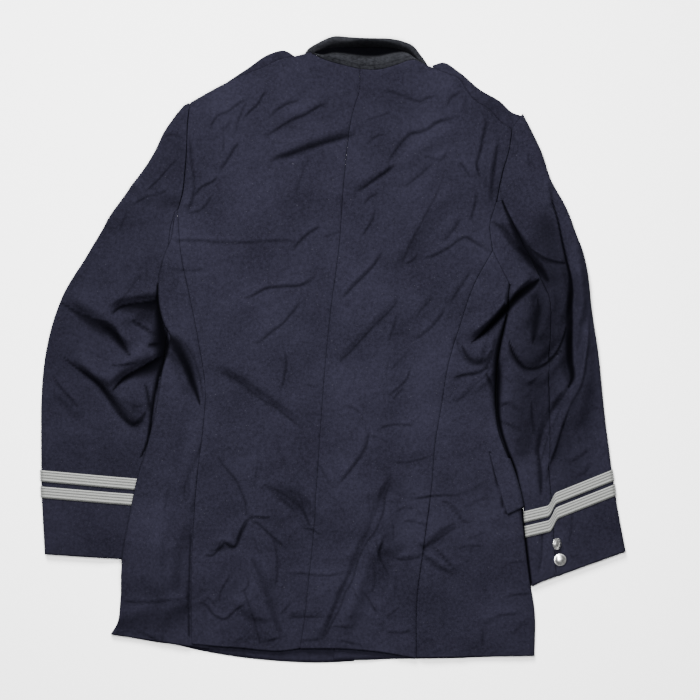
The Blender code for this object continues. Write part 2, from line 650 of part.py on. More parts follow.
def make_fronts():
    """The two fronts, face down, the right one lying over the left along the opening."""
    side_rows, arm_rows, columns, opening_rows = SIDE_ROWS, ARM_ROWS, 8, 20
    across = np.linspace(0, 1, columns)
    roll_rows = side_rows + arm_rows - opening_rows
    for name, under, armhole, hem, opening, roll, shoulder, height, way in (
            ("front_left", LEFT_UNDER, LEFT_ARMHOLE, FRONT_LEFT_HEM, LEFT_OPENING, LEFT_ROLL, LEFT_SHOULDER,
             body_under, 1),
            ("front_right", RIGHT_UNDER, RIGHT_ARMHOLE, FRONT_RIGHT_HEM[::-1], RIGHT_OPENING, RIGHT_ROLL,
             RIGHT_SHOULDER[::-1], right_front_under, -1)):
        left = inset(chain(under, [under[-1]] + armhole[1:], side_rows, arm_rows), way * UNDER_SEAM / 2)
        right = chain(opening, roll, opening_rows, roll_rows)
        bottom, top = smooth_line(hem, across), smooth_line(shoulder, across)
        bottom[0], top[0], bottom[-1], top[-1] = left[0], left[-1], right[0], right[-1]
        sheet_wall(name, patch(bottom, top, left, right), height, above=False)


def plate_top(x, y):
    """Height of a piece that lies flat on the surface."""
    return PLATE + 0 * x


def make_lapels():
    """The lapels, folded back under the fronts and flat on the surface."""
    for side, sections in LAPELS.items():
        cut = smooth_rows(sections, 9)
        plan = between(cut.roll_x, cut.roll_y, cut.edge_x, cut.edge_y, 4)
        sheet_wall("lapel_" + side, plan, plate_top, thickness=PLATE)


def make_collar():
    """The turned-up collar: the stand from the neck seam to the roll line, and the leaf beyond it."""
    cut = smooth_rows(COLLAR_STAND, 17)
    share = np.linspace(0, 1, 5)[None, :]
    crest = STAND_CREST * np.sin(math.pi * np.minimum(share * 1.25, 1.0))
    height = NECK_HEIGHT + (ROLL_HEIGHT - NECK_HEIGHT) * share**3 + crest * cut.stand[:, None]
    outer = np.dstack((between(cut.neck_x, cut.neck_y, cut.roll_x, cut.roll_y, 5), height))
    wall("collar_stand", outer, outer - (0, 0, CLOTH), "felt")

    cut = smooth_rows(COLLAR_LEAF, 33)
    curl = np.sin(math.pi * (0.03 + 0.72 * share))
    rolled = ROLL_HEIGHT - PLATE + (LEAF_HEIGHT - ROLL_HEIGHT) * curl
    height = PLATE + rolled * np.clip(cut.stand[:, None], 0, 1)
    outer = np.dstack((between(cut.roll_x, cut.roll_y, cut.edge_x, cut.edge_y, 5), height))
    wall("collar_leaf", outer, outer - (0, 0, PLATE), "felt")


def make_epaulettes():
    """The shoulder straps, on the front face of the shoulders, showing past the shoulder edge."""
    for side, sections in EPAULETTES.items():
        cut = smooth_rows(sections, 11)
        plan = between(cut.show_x, cut.show_y, cut.hidden_x, cut.hidden_y, 3)
        sheet_wall("epaulette_" + side, plan, plate_top, thickness=PLATE)


def make_flaps():
    """The lower pocket flaps: the left on the under side, the right wrapped round the body's edge."""
    cut = smooth_rows(LEFT_FLAP, 4)
    sheet_wall("pocket_flap_left", between(cut.rear_x, cut.rear_y, cut.front_x, cut.front_y, 5), plate_top,
               thickness=PLATE)

    where = np.linspace(0, 1, 6)
    rear = smooth_line(RIGHT_FLAP_REAR, where)
    front = smooth_line(RIGHT_FLAP_FRONT, where)
    y = np.linspace(RIGHT_FLAP_EDGE[0], RIGHT_FLAP_EDGE[1], 6)
    edge = np.column_stack((right_edge_x(y), y))
    skins = [fold_skin(rear, edge, front, body_top, right_front_under, out, (3, 3, 5))
             for out in (TRIM_CLEAR + FLAP, TRIM_CLEAR)]
    wall("pocket_flap_right", *skins)


def make_sleeve(sleeve):
    """The top sleeve round the outer edge and the under sleeve round the inner edge."""
    half_gap = SEAM / 2 / sleeve.width
    top_columns, under_columns = (11, 2) if sleeve.side == "left" else (8, 5)
    fold_columns, below = 3, 4
    outs = (0, -CLOTH)

    hind, forearm = sleeve.across(sleeve.hind - half_gap), sleeve.across(FOREARM - half_gap)
    skins = [fold_skin(hind, sleeve.outer, forearm, sleeve.top, sleeve.under, out,
                       (top_columns, fold_columns, below)) for out in outs]
    wall("sleeve_" + sleeve.side + "_top", *skins)

    hind, forearm = sleeve.across(sleeve.hind + half_gap), sleeve.across(FOREARM + half_gap)
    skins = [fold_skin(hind, sleeve.inner, forearm, sleeve.top, sleeve.under, out,
                       (under_columns, fold_columns, below), opened=sleeve.open) for out in outs]
    keep = np.ones((sleeve.count - 1, skins[0].shape[1] - 1), dtype=bool)
    keep[:sleeve.first_hind, :under_columns - 1] = False
    keep[:UNDERARM_ROW[sleeve.side], under_columns - 1:under_columns + fold_columns] = False
    wall("sleeve_" + sleeve.side + "_under", *skins, keep=keep)


def up_from_cuff(edge, distance):
    """Points of a sleeve's edge at distances up from the cuff end."""
    edge = edge[::-1]
    reach = np.concatenate(([0.0], np.cumsum(np.linalg.norm(np.diff(edge, axis=0), axis=1))))
    return np.column_stack([np.interp(distance, reach, edge[:, k]) for k in (0, 1)])


def make_braids(sleeve):
    """The two braid bands round a cuff, made from the sleeve's own surface, moved out."""
    side = sleeve.side
    across = np.linspace(0, BRAID_WIDTH, 2)
    for band in BRAIDS:
        if band.side != side:
            continue
        outer = up_from_cuff(sleeve.outer, band.outer - across)
        inner = up_from_cuff(sleeve.inner, band.inner - across)
        middle = outer + BRAID_STEP_AT * (inner - outer)
        down = (sleeve.outer[-1] - outer[0]) / np.linalg.norm(sleeve.outer[-1] - outer[0])
        middle_outer = middle + down * BRAID_MIDDLE[side]
        jump = down * BRAID_STEP[side]

        def step_down(share, row, on_top):
            return np.outer(ease(0.80, 1.0, share), -jump if on_top else 0 * jump)

        far = np.linalg.norm(inner - middle_outer - jump, axis=1)
        tail = [(0.10 * reach, 0.20 * reach) for reach in far]
        loops = []
        for out in (TRIM_CLEAR + BRAID, TRIM_CLEAR):
            one = fold_skin(middle_outer, outer, middle, sleeve.top, sleeve.under, out, (8, 3, 3))
            two = fold_skin(middle_outer + jump, inner, middle, sleeve.top, sleeve.under, out, (4, 3, 3),
                            step_down, tail)
            loops.append(np.concatenate((one, two[:, ::-1][:, 1:-1]), axis=1))
        wall("braid_" + side + "_" + band.name, *loops, kind="braid", ring=True)


def button(spec, base):
    """A domed metal button with a rim, turned round its axis, with the middle of its base at a height."""
    mesh_data = bmesh.new()
    points = [mesh_data.verts.new((ring.radius * spec.radius * MM, 0, ring.height * spec.height * MM))
              for ring in BUTTON_PROFILE]
    edges = [mesh_data.edges.new(pair) for pair in zip(points[:-1], points[1:])]
    bmesh.ops.spin(mesh_data, geom=points + edges, axis=(0, 0, 1), cent=(0, 0, 0), angle=2 * math.pi,
                   steps=BUTTON_STEPS, use_merge=True)
    bmesh.ops.remove_doubles(mesh_data, verts=mesh_data.verts, dist=1e-6)
    piece = finish_object(spec.name, mesh_data, "button")
    piece.rotation_euler = (0, math.radians(spec.lean), 0)
    piece.location = (spec.x * MM, spec.y * MM, base * MM)


def seat_height(sleeve, spec):
    """Height of a button's base that keeps its rim clear of the sleeve."""
    turns = np.linspace(0, 2 * math.pi, BUTTON_STEPS)
    x = np.append(spec.x + spec.radius * np.cos(turns), spec.x)
    y = np.append(spec.y + spec.radius * np.sin(turns), spec.y)
    return sleeve.top(x, y).max() + CLEAR + spec.radius * math.sin(math.radians(spec.lean))


def make_buttons(left_sleeve, right_sleeve):
    """Two buttons at each cuff vent and four down the left front."""
    for spec in LEFT_CUFF_BUTTONS:
        button(spec, seat_height(left_sleeve, spec))
    for spec in RIGHT_CUFF_BUTTONS:
        button(spec, seat_height(right_sleeve, spec))
    for spec in FRONT_BUTTONS:
        button(spec, 0.0)


def centre_on_origin():
    """Move the whole jacket so that the middle of its box lies over the origin."""
    pieces = list(bpy.context.scene.collection.objects)
    bpy.context.view_layer.update()
    corners = np.array([piece.matrix_world @ vertex.co for piece in pieces for vertex in piece.data.vertices])
    middle = (corners.min(axis=0) + corners.max(axis=0)) / 2
    for piece in pieces:
        piece.location.x -= middle[0]
        piece.location.y -= middle[1]


def main():
    """Build the whole jacket."""
    for old in list(bpy.data.objects):
        bpy.data.objects.remove(old)
    make_backs()
    make_sides()
    make_fronts()
    make_lapels()
    make_collar()
    make_epaulettes()
    make_flaps()
    left = Sleeve("left", LEFT_HEAD, LEFT_SLEEVE, LEFT_SLEEVE_FOLDS, LEFT_ARMHOLE)
    right = Sleeve("right", RIGHT_HEAD, RIGHT_SLEEVE, RIGHT_SLEEVE_FOLDS, RIGHT_ARMHOLE)
    for sleeve in (left, right):
        make_sleeve(sleeve)
        make_braids(sleeve)
    make_buttons(left, right)
    centre_on_origin()


main()
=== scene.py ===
"""Looks of the fire service dress jacket: fine cloth, collar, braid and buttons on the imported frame.

Plan sizes are in millimetres, x across and y towards the collar, as in the part's source. Crease
routes are in pixels of the photograph's 700 x 700 frame, which looks straight down.
"""
from __future__ import annotations

import logging
import math
from collections.abc import Callable, Sequence
from dataclasses import dataclass, field
from enum import Enum

import bmesh
import bpy
import numpy as np
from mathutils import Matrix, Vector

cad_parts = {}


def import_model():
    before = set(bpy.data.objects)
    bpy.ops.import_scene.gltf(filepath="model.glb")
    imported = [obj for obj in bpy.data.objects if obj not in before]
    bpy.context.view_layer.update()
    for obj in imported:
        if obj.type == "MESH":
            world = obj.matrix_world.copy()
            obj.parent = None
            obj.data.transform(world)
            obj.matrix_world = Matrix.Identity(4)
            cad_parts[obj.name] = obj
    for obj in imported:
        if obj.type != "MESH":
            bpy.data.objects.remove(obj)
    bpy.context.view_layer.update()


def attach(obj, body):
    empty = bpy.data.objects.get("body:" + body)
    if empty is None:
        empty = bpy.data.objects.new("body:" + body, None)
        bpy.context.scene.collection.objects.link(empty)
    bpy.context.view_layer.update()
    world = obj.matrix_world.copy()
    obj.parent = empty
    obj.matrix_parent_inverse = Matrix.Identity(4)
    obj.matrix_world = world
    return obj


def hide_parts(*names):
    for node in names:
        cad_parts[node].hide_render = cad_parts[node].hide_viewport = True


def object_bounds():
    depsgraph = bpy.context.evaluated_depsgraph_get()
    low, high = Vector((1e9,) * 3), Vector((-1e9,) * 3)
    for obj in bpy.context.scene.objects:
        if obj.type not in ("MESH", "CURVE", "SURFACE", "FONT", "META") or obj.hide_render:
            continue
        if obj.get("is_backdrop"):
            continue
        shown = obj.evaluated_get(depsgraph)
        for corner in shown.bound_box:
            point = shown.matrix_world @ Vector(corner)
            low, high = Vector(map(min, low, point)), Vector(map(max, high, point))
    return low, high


LOG = logging.getLogger("jacket")
Array = np.ndarray
HeightField = Callable[[Array, Array], Array]

MM = 0.001
# The part's source centres the jacket on the origin, which moves its plan by this much.
PLAN_SHIFT = (0.61, -0.53)
MM_PER_PIXEL = 1.35
PIXEL_ORIGIN = (333.3, 350.0)
FRAME_PIXELS = 700

# Thickness of each kind of piece and the gaps between them, in millimetres.
CLOTH = 2.2
BRAID = 1.0
BRAID_WIDTH = 15.4
FLAP = 1.8
PLATE = 2.0
CLEAR = 0.4
TRIM_CLEAR = 0.5

# The line of painted shade at the foot of a crease: how dark, from what depth on, and half its width in
# millimetres. The power gathers all the painted shade of a piece towards black.
FOOT_SHADE = 0.27
FOOT_DEPTH = 1.7
FOOT_WIDTH = 1.5
SHADE_POWER = 1.6


class Slot(Enum):
    """The record's material slots."""

    WOOL = "wool"
    MELTON = "melton"
    BRAID = "braid"
    BUTTONS = "buttons"


class Side(Enum):
    """The side of the plan, with the way from its edge to the middle."""

    LEFT = 1
    RIGHT = -1

    @property
    def word(self) -> str:
        """The side's name in the frame's nodes."""
        return self.name.lower()


def ease(start: float, end: float, value: Array) -> Array:
    """Return 0 at start and 1 at end, eased at both.

    Args:
        start: Value at which the result is 0.
        end: Value at which it is 1.
        value: Places to evaluate.

    Returns:
        The eased share at each place.
    """
    share = np.clip((value - start) / (end - start), 0.0, 1.0)
    return share * share * (3.0 - 2.0 * share)


def smooth(knots: Array, reach: Array, where: Array) -> Array:
    """Return places along a smooth line through knots.

    Args:
        knots: Rows of values that the line passes through.
        reach: Where along the line each knot lies.
        where: Places to evaluate, in the same measure.

    Returns:
        One row of values for each place.
    """
    knots = np.asarray(knots, dtype=float)
    if len(knots) > 2:
        slope = np.gradient(knots, reach, axis=0)
    else:
        slope = np.repeat((knots[1:] - knots[:1]) / (reach[1] - reach[0]), 2, axis=0)
    at = np.clip(np.searchsorted(reach, where, side="right") - 1, 0, len(knots) - 2)
    gap = (reach[at + 1] - reach[at])[:, None]
    s = (where - reach[at])[:, None] / gap
    return ((2 * s**3 - 3 * s**2 + 1) * knots[at] + (s**3 - 2 * s**2 + s) * gap * slope[at]
            + (3 * s**2 - 2 * s**3) * knots[at + 1] + (s**3 - s**2) * gap * slope[at + 1])


def to_plan(pixels: Array) -> Array:
    """Return the plan points of places in the photograph's frame."""
    return (pixels - np.array(PIXEL_ORIGIN)) * (MM_PER_PIXEL, -MM_PER_PIXEL)


@dataclass(frozen=True)
class Line:
    """A smooth line in the plan, of one or two stretches that share a corner.

    corner is the share of the line's length in rows at which the second stretch starts.
    """

    points: Sequence[tuple[float, float]]
    more: Sequence[tuple[float, float]] = ()
    corner: float = 1.0

    FINE = 240
    COARSE = 40

    @staticmethod
    def stretch(points: Sequence[tuple[float, ...]], where: Array) -> Array:
        """Return places at shares of one stretch, measured along its first two columns."""
        knots = np.array(points, dtype=float)
        steps = np.linalg.norm(np.diff(knots[:, :2], axis=0), axis=1)
        reach = np.concatenate(([0.0], np.cumsum(steps)))
        return smooth(knots, reach / reach[-1], where)

    def at(self, where: Array) -> Array:
        """Return the plan points at shares of the whole line."""
        if not self.more:
            return self.stretch(self.points, where)
        first = self.stretch(self.points, np.clip(where / self.corner, 0, 1))
        second = self.stretch(self.more, np.clip((where - self.corner) / (1 - self.corner), 0, 1))
        return np.where((where < self.corner)[:, None], first, second)

    def x_at(self, y: Array) -> Array:
        """Return the line's x at heights in the plan."""
        fine = self.at(np.linspace(0, 1, self.FINE))
        order = np.argsort(fine[:, 1])
        return np.interp(y, fine[order, 1], fine[order, 0])

    def distance(self, x: Array, y: Array) -> Array:
        """Return how far plan points lie from the line."""
        best = np.full(np.shape(x), 1e9)
        for px, py in self.at(np.linspace(0, 1, self.COARSE)):
            best = np.minimum(best, np.hypot(x - px, y - py))
        return best


LEFT_EDGE = Line([
    (-301, -384), (-293, -371), (-288, -338), (-285, -284), (-276, -230), (-264, -171), (-251, -130),
    (-240, -80), (-225, -1), (-220, 18), (-229, 36), (-237, 70), (-229, 126), (-220, 147), (-215, 174)])
RIGHT_EDGE_TOP = (238, 88)
RIGHT_EDGE = Line([
    (272, -413), (272, -351), (266, -313), (260, -254), (254, -202), (241, -157), (223, -108),
    (220, -70), (222, -20), (234, 49), RIGHT_EDGE_TOP])
LEFT_SIDE = [(-191, -397), (-192, -338), (-190, -263), (-181, -148), (-176, -107), (-173, -47), (-182, 12),
    (-194, 74), (-205, 126), (-210, 186)]
RIGHT_SIDE = [(112, -416), (113, -332), (121, -271), (125, -240), (133, -182), (137, -130), (147, -70), (154, -26),
    (172, 36), (189, 86), (215, 134)]
LEFT_UNDER = [(-236, -396), (-226, -300), (-208, -200), (-188, -100), (-180, 0), (-182, 100), (-204, 184)]
RIGHT_UNDER = [(257, -413), (250, -330), (240, -250), (225, -200), (205, -130), (195, -60), (196, 0), (205, 60),
    (217, 128)]
LEFT_ARMHOLE = [(-210, 186), (-203, 211), (-200, 236), (-197, 275), (-196, 305), (-193, 334)]
RIGHT_ARMHOLE = [(215, 134), (212, 174), (218, 193), (228, 240), (237, 271), (241, 298)]
CENTRE_BACK = [(-45, -403), (-40, -371), (-33, -308), (-27, -251), (-23, -190), (-19, -130), (-15, -70), (-4, 51),
    (8, 142), (15, 236), (28, 326), (35, 348), (36, 378.5)]
LEFT_HEM = [(-191, -397), (-129, -402), (-67, -406), (-45, -403)]
RIGHT_HEM = [(-45, -403), (9, -403), (67, -408), (112, -416)]
LEFT_SHOULDER = [(-193, 334), (-146, 360), (-119, 372), (-93, 382), (-73, 392), (-50, 397), (-31, 402)]
RIGHT_SHOULDER = [(130, 383), (151, 374), (170, 366), (178, 353), (190, 338), (210, 325), (226, 308), (241, 298)]
LEFT_NECK = [(-31, 402), (-15, 392.5), (-4, 388.5), (21, 382), (36, 378.5)]
RIGHT_NECK = [(36, 378.5), (61, 378), (85, 384), (108, 391), (130, 383)]
FRONT_LEFT_HEM = [(-236, -396), (-216, -398), (-191, -404), (-150, -412), (-84, -420), (-19, -423), (28, -421)]
FRONT_RIGHT_HEM = [(257, -413), (234, -414), (161, -417), (81, -418), (0, -420)]
LEFT_OPENING = [(28, -421), (45, -150), (62, 80)]
LEFT_ROLL = [(62, 80), (35, 170), (5, 270), (-20, 350), (-31, 402)]
RIGHT_OPENING = [(0, -420), (17, -150), (34, 80)]
RIGHT_ROLL = [(34, 80), (60, 180), (90, 270), (115, 345), (130, 383)]

# Shares of the rows and columns at which the panels' outlines turn a corner, as in the part.
UNDERARM_SHARE = 24 / 31
NECK_SHARE = 5 / 14
BREAK_SHARE = 20 / 31


@dataclass(frozen=True)
class Crease:
    """One crease of the cloth, placed by its foot, where the raised cloth comes down.

    route holds x and y of its places in turn, in the photograph's frame, with the raised cloth on the
    left of its way. depth, fall and rise are in millimetres: the height of the crest, how far it lies
    from the foot, and how far the cloth takes to come down again behind it. With a negative depth the
    crease is a groove along the route, fall wide on either side. ends are the shares of the way over
    which it dies away.
    """

    route: tuple[float, ...]
    depth: float
    fall: float
    rise: float = 9.0
    ends: tuple[float, float] = (0.22, 0.22)

    def line(self) -> Array:
        """The route as plan points."""
        plan = to_plan(np.reshape(self.route, (-1, 2)))
        return Line.stretch(plan, np.linspace(0, 1, 4 * len(plan) + 1))

    def height(self, x: Array, y: Array) -> Array:
        """Return the crease's height at plan points."""
        reach = 2.5 * self.fall if self.depth < 0 else self.fall + 2.3 * self.rise
        return near_only(self.profile, self.line(), reach, x, y)

    def profile(self, route: Array, x: Array, y: Array) -> Array:
        """Return the height at points that lie near the route."""
        signed, along = follow(route, x, y)
        if self.depth < 0:
            return self.depth * self.taper(along) * np.exp(-(signed / self.fall) ** 2)
        up = np.clip(signed / self.fall, 0, 1)
        climb = up ** 1.35 * (1.25 - 0.25 * up)
        behind = np.exp(-(np.maximum(signed - self.fall, 0) / self.rise) ** 1.4)
        dip = 0.12 * np.exp(-((signed + 0.3 * self.fall) / (0.4 * self.fall)) ** 2)
        return self.depth * self.taper(along) * (np.where(signed < self.fall, climb, behind) - dip)

    def taper(self, along: Array) -> Array:
        """Return how much of the crease is there at shares of its way."""
        start, end = self.ends
        return ease(0, max(start, 1e-3), along) * ease(1, 1 - max(end, 1e-3), along)

    def shade(self, x: Array, y: Array) -> Array:
        """Return the painted shade along the foot of the crease at plan points."""
        def dark(route: Array, x: Array, y: Array) -> Array:
            """Return the painted shade at points that lie near the route."""
            signed, along = follow(route, x, y)
            middle = 0.0 if self.depth < 0 else 0.25 * self.fall
            strength = FOOT_SHADE * min(abs(self.depth) / FOOT_DEPTH, 1.0) * self.taper(along)
            return strength * np.exp(-((signed - middle) / FOOT_WIDTH) ** 2)

        return near_only(dark, self.line(), 4.0 + 0.3 * self.fall, x, y)


@dataclass(frozen=True)
class Shade:
    """A patch of painted shade deep in a fold that the light hardly reaches.

    route holds four numbers for each of its places: x and y in the photograph's frame, and how far
    the painted shade reaches to the left and to the right of the way there. dark is how much shade is
    painted into the colour, from 0 to 1, and crisp how suddenly the shade ends.
    """

    route: tuple[float, ...]
    dark: float = 0.9
    crisp: float = 2.2

    def shade(self, x: Array, y: Array) -> Array:
        """Return the painted shade at plan points."""
        places = np.reshape(self.route, (-1, 4))
        rows = Line.stretch(places, np.linspace(0, 1, 5 * len(places) + 1))
        steps = np.arange(len(rows), dtype=float)

        def value(route: Array, x: Array, y: Array) -> Array:
            """Return the painted shade at points that lie near the route."""
            signed, along = follow(route, x, y)
            place = along * (len(rows) - 1)
            wide = np.where(signed > 0, np.interp(place, steps, rows[:, 2]), np.interp(place, steps, rows[:, 3]))
            wide = np.maximum(wide * MM_PER_PIXEL, 0.3)
            return self.dark * np.exp(-(np.abs(signed) / wide) ** self.crisp)

        reach = 2.5 * MM_PER_PIXEL * float(rows[:, 2:].max())
        return near_only(value, to_plan(rows[:, :2]), reach, x, y)


def creases(*rows: tuple) -> tuple[Crease, ...]:
    """Return the creases of a table's rows."""
    return tuple(Crease(*row) for row in rows)


def shades(*rows: tuple) -> tuple[Shade, ...]:
    """Return the shades of a table's rows."""
    return tuple(Shade(*row) for row in rows)


def shade_of(places: Sequence[Crease | Shade], skin: Array, upper: int | None = None) -> Array:
    """Return the painted shade at each point of a skin.

    Args:
        places: Creases and shades.
        skin: Rows of columns of points.
        upper: Number of columns that lie on the upper side, all of them when left out.

    Returns:
        A value from 0 to 1 at each point.
    """
    x, y = skin[..., 0], skin[..., 1]
    found = np.maximum.reduce([place.shade(x, y) for place in places])
    if upper is not None:
        found[:, upper:] = 0.0
    return 1 - (1 - found) ** SHADE_POWER


def near_only(profile: Callable[[Array, Array, Array], Array], route: Array, reach: float,
              x: Array, y: Array) -> Array:
    """Evaluate a profile only at the points that lie near its route.

    Args:
        profile: Height or darkness from the route and the points' x and y.
        route: Plan points of the route.
        reach: How far from the route the profile still has a value.
        x: Plan x of the points.
        y: Plan y of the points.

    Returns:
        The value at each point, 0 away from the route.
    """
    low, high = route.min(axis=0) - reach, route.max(axis=0) + reach
    near = (x > low[0]) & (x < high[0]) & (y > low[1]) & (y < high[1])
    value = np.zeros(np.shape(x))
    if near.any():
        value[near] = profile(route, x[near], y[near])
    return value


def follow(route: Array, x: Array, y: Array) -> tuple[Array, Array]:
    """Measure plan points against a route.

    Args:
        route: Plan points of the route, from start to end.
        x: Plan x of the points.
        y: Plan y of the points.

    Returns:
        The distance from the route, positive on its left, and the share of the way along it.
    """
    near = np.full(np.shape(x), 1e9)
    signed = np.zeros(np.shape(x))
    along = np.zeros(np.shape(x))
    count = len(route) - 1
    for index in range(count):
        ax, ay = route[index]
        dx, dy = route[index + 1] - route[index]
        share = np.clip(((x - ax) * dx + (y - ay) * dy) / (dx * dx + dy * dy), 0, 1)
        away = np.hypot(x - ax - share * dx, y - ay - share * dy)
        turn = np.sign(dx * (y - ay) - dy * (x - ax))
        closer = away < near
        near = np.where(closer, away, near)
        signed = np.where(closer, away * turn, signed)
        along = np.where(closer, (index + share) / count, along)
    return signed, along


@dataclass(frozen=True)
class Fold:
    """One of the large folds that the part's solids have too, in millimetres of the plan."""

    start: tuple[float, float]
    middle: tuple[float, float]
    end: tuple[float, float]
    width: float
    crest: float
    trough: float
    side: int

    def height(self, x: Array, y: Array) -> Array:
        """Return the fold's height at plan points."""
        route = Line.stretch([self.start, self.middle, self.end], np.linspace(0, 1, 9))
        return near_only(self.profile, route, 5 * self.width, x, y)

    def profile(self, route: Array, x: Array, y: Array) -> Array:
        """Return the height at points that lie near the route."""
        signed, along = follow(route, x, y)
        taper = ease(0, 0.25, along) * ease(1, 0.75, along)
        ridge = self.crest * np.exp(-((signed - self.side * 1.15 * self.width) / self.width) ** 2)
        return taper * (ridge - self.trough * np.exp(-(signed / (0.7 * self.width)) ** 2))


BODY_FOLDS = (
    Fold((37, 293), (-14, 278), (-83, 250), 10, 5.0, 2.4, -1),
    Fold((-91, 290), (-40, 312), (3, 335), 10, 3.0, 0.0, 1),
    Fold((152, 236), (116, 189), (78, 124), 12, 5.0, 2.6, 1),
    Fold((168, 313), (120, 292), (70, 246), 11, 3.5, 1.6, 1),
    Fold((89, 248), (52, 226), (25, 212), 9, 2.6, 2.0, -1),
    Fold((66, -189), (25, -297), (-11, -392), 13, 7.5, 2.6, 1),
    Fold((-94, -181), (-45, -203), (-18, -247), 10, 4.0, 2.0, 1),
    Fold((-117, -230), (-133, -263), (-164, -274), 9, 3.5, 1.6, -1),
    Fold((-146, -338), (-112, -365), (-79, -371), 10, 3.5, 1.6, 1),
    Fold((-173, -19), (-99, -61), (-45, -104), 11, 3.5, 1.8, 1),
    Fold((62, -278), (82, -277), (104, -266), 9, 2.4, 1.0, 1),
    Fold((182, 14), (196, -20), (219, 22), 9, 5.0, 1.0, 1),
    Fold((252, 80), (226, 46), (184, 7), 9, 7.0, 3.0, -1),
    Fold((-222, 24), (-203, -1), (-185, -59), 9, 4.5, 2.6, -1),
    Fold((-222, -238), (-224, -290), (-218, -345), 11, 4.0, 2.0, -1),
    Fold((-184, -130), (-200, -176), (-204, -222), 9, 3.0, 2.0, 1),
    Fold((205, 285), (198, 238), (206, 205), 9, 3.5, 2.0, 1),
)
SLEEVE_FOLDS = {
    Side.LEFT: (
        Fold((-224, 62), (-262, 63), (-304, 48), 11, 8.0, 4.5, 1),
        Fold((-368, 66), (-315, 36), (-272, -14), 12, 8.0, 4.5, 1),
        Fold((-363, -14), (-320, -46), (-266, -106), 12, 8.5, 4.5, 1),
        Fold((-232, -14), (-276, -28), (-296, -58), 12, 7.5, 4.5, -1),
        Fold((-236, 204), (-252, 222), (-262, 236), 8, 4.0, 2.0, 1),
        Fold((-384, -60), (-364, -76), (-350, -98), 9, 3.0, 1.5, 1),
    ),
    Side.RIGHT: (
        Fold((316, 122), (323, 60), (294, 10), 10, 7.0, 4.0, 1),
        Fold((330, 40), (326, -30), (312, -110), 12, 8.0, 4.0, 1),
        Fold((218, 176), (242, 158), (264, 130), 9, 4.0, 3.0, 1),
        Fold((279, 84), (275, 49), (258, 14), 10, 6.0, 4.0, 1),
        Fold((244, -4), (270, -28), (304, 10), 9, 5.0, 3.0, -1),
        Fold((292, -72), (284, -104), (280, -150), 10, 5.0, 3.5, 1),
    ),
}

# The deep slot from the body's right side up into the crook of the arm.
SLOT = ((466, 345, 476, 337, 486, 329, 496, 320, 507, 307, 518, 295, 527, 286, 537, 279), 7.5, 6.5, 12, (0.3, 0.12))
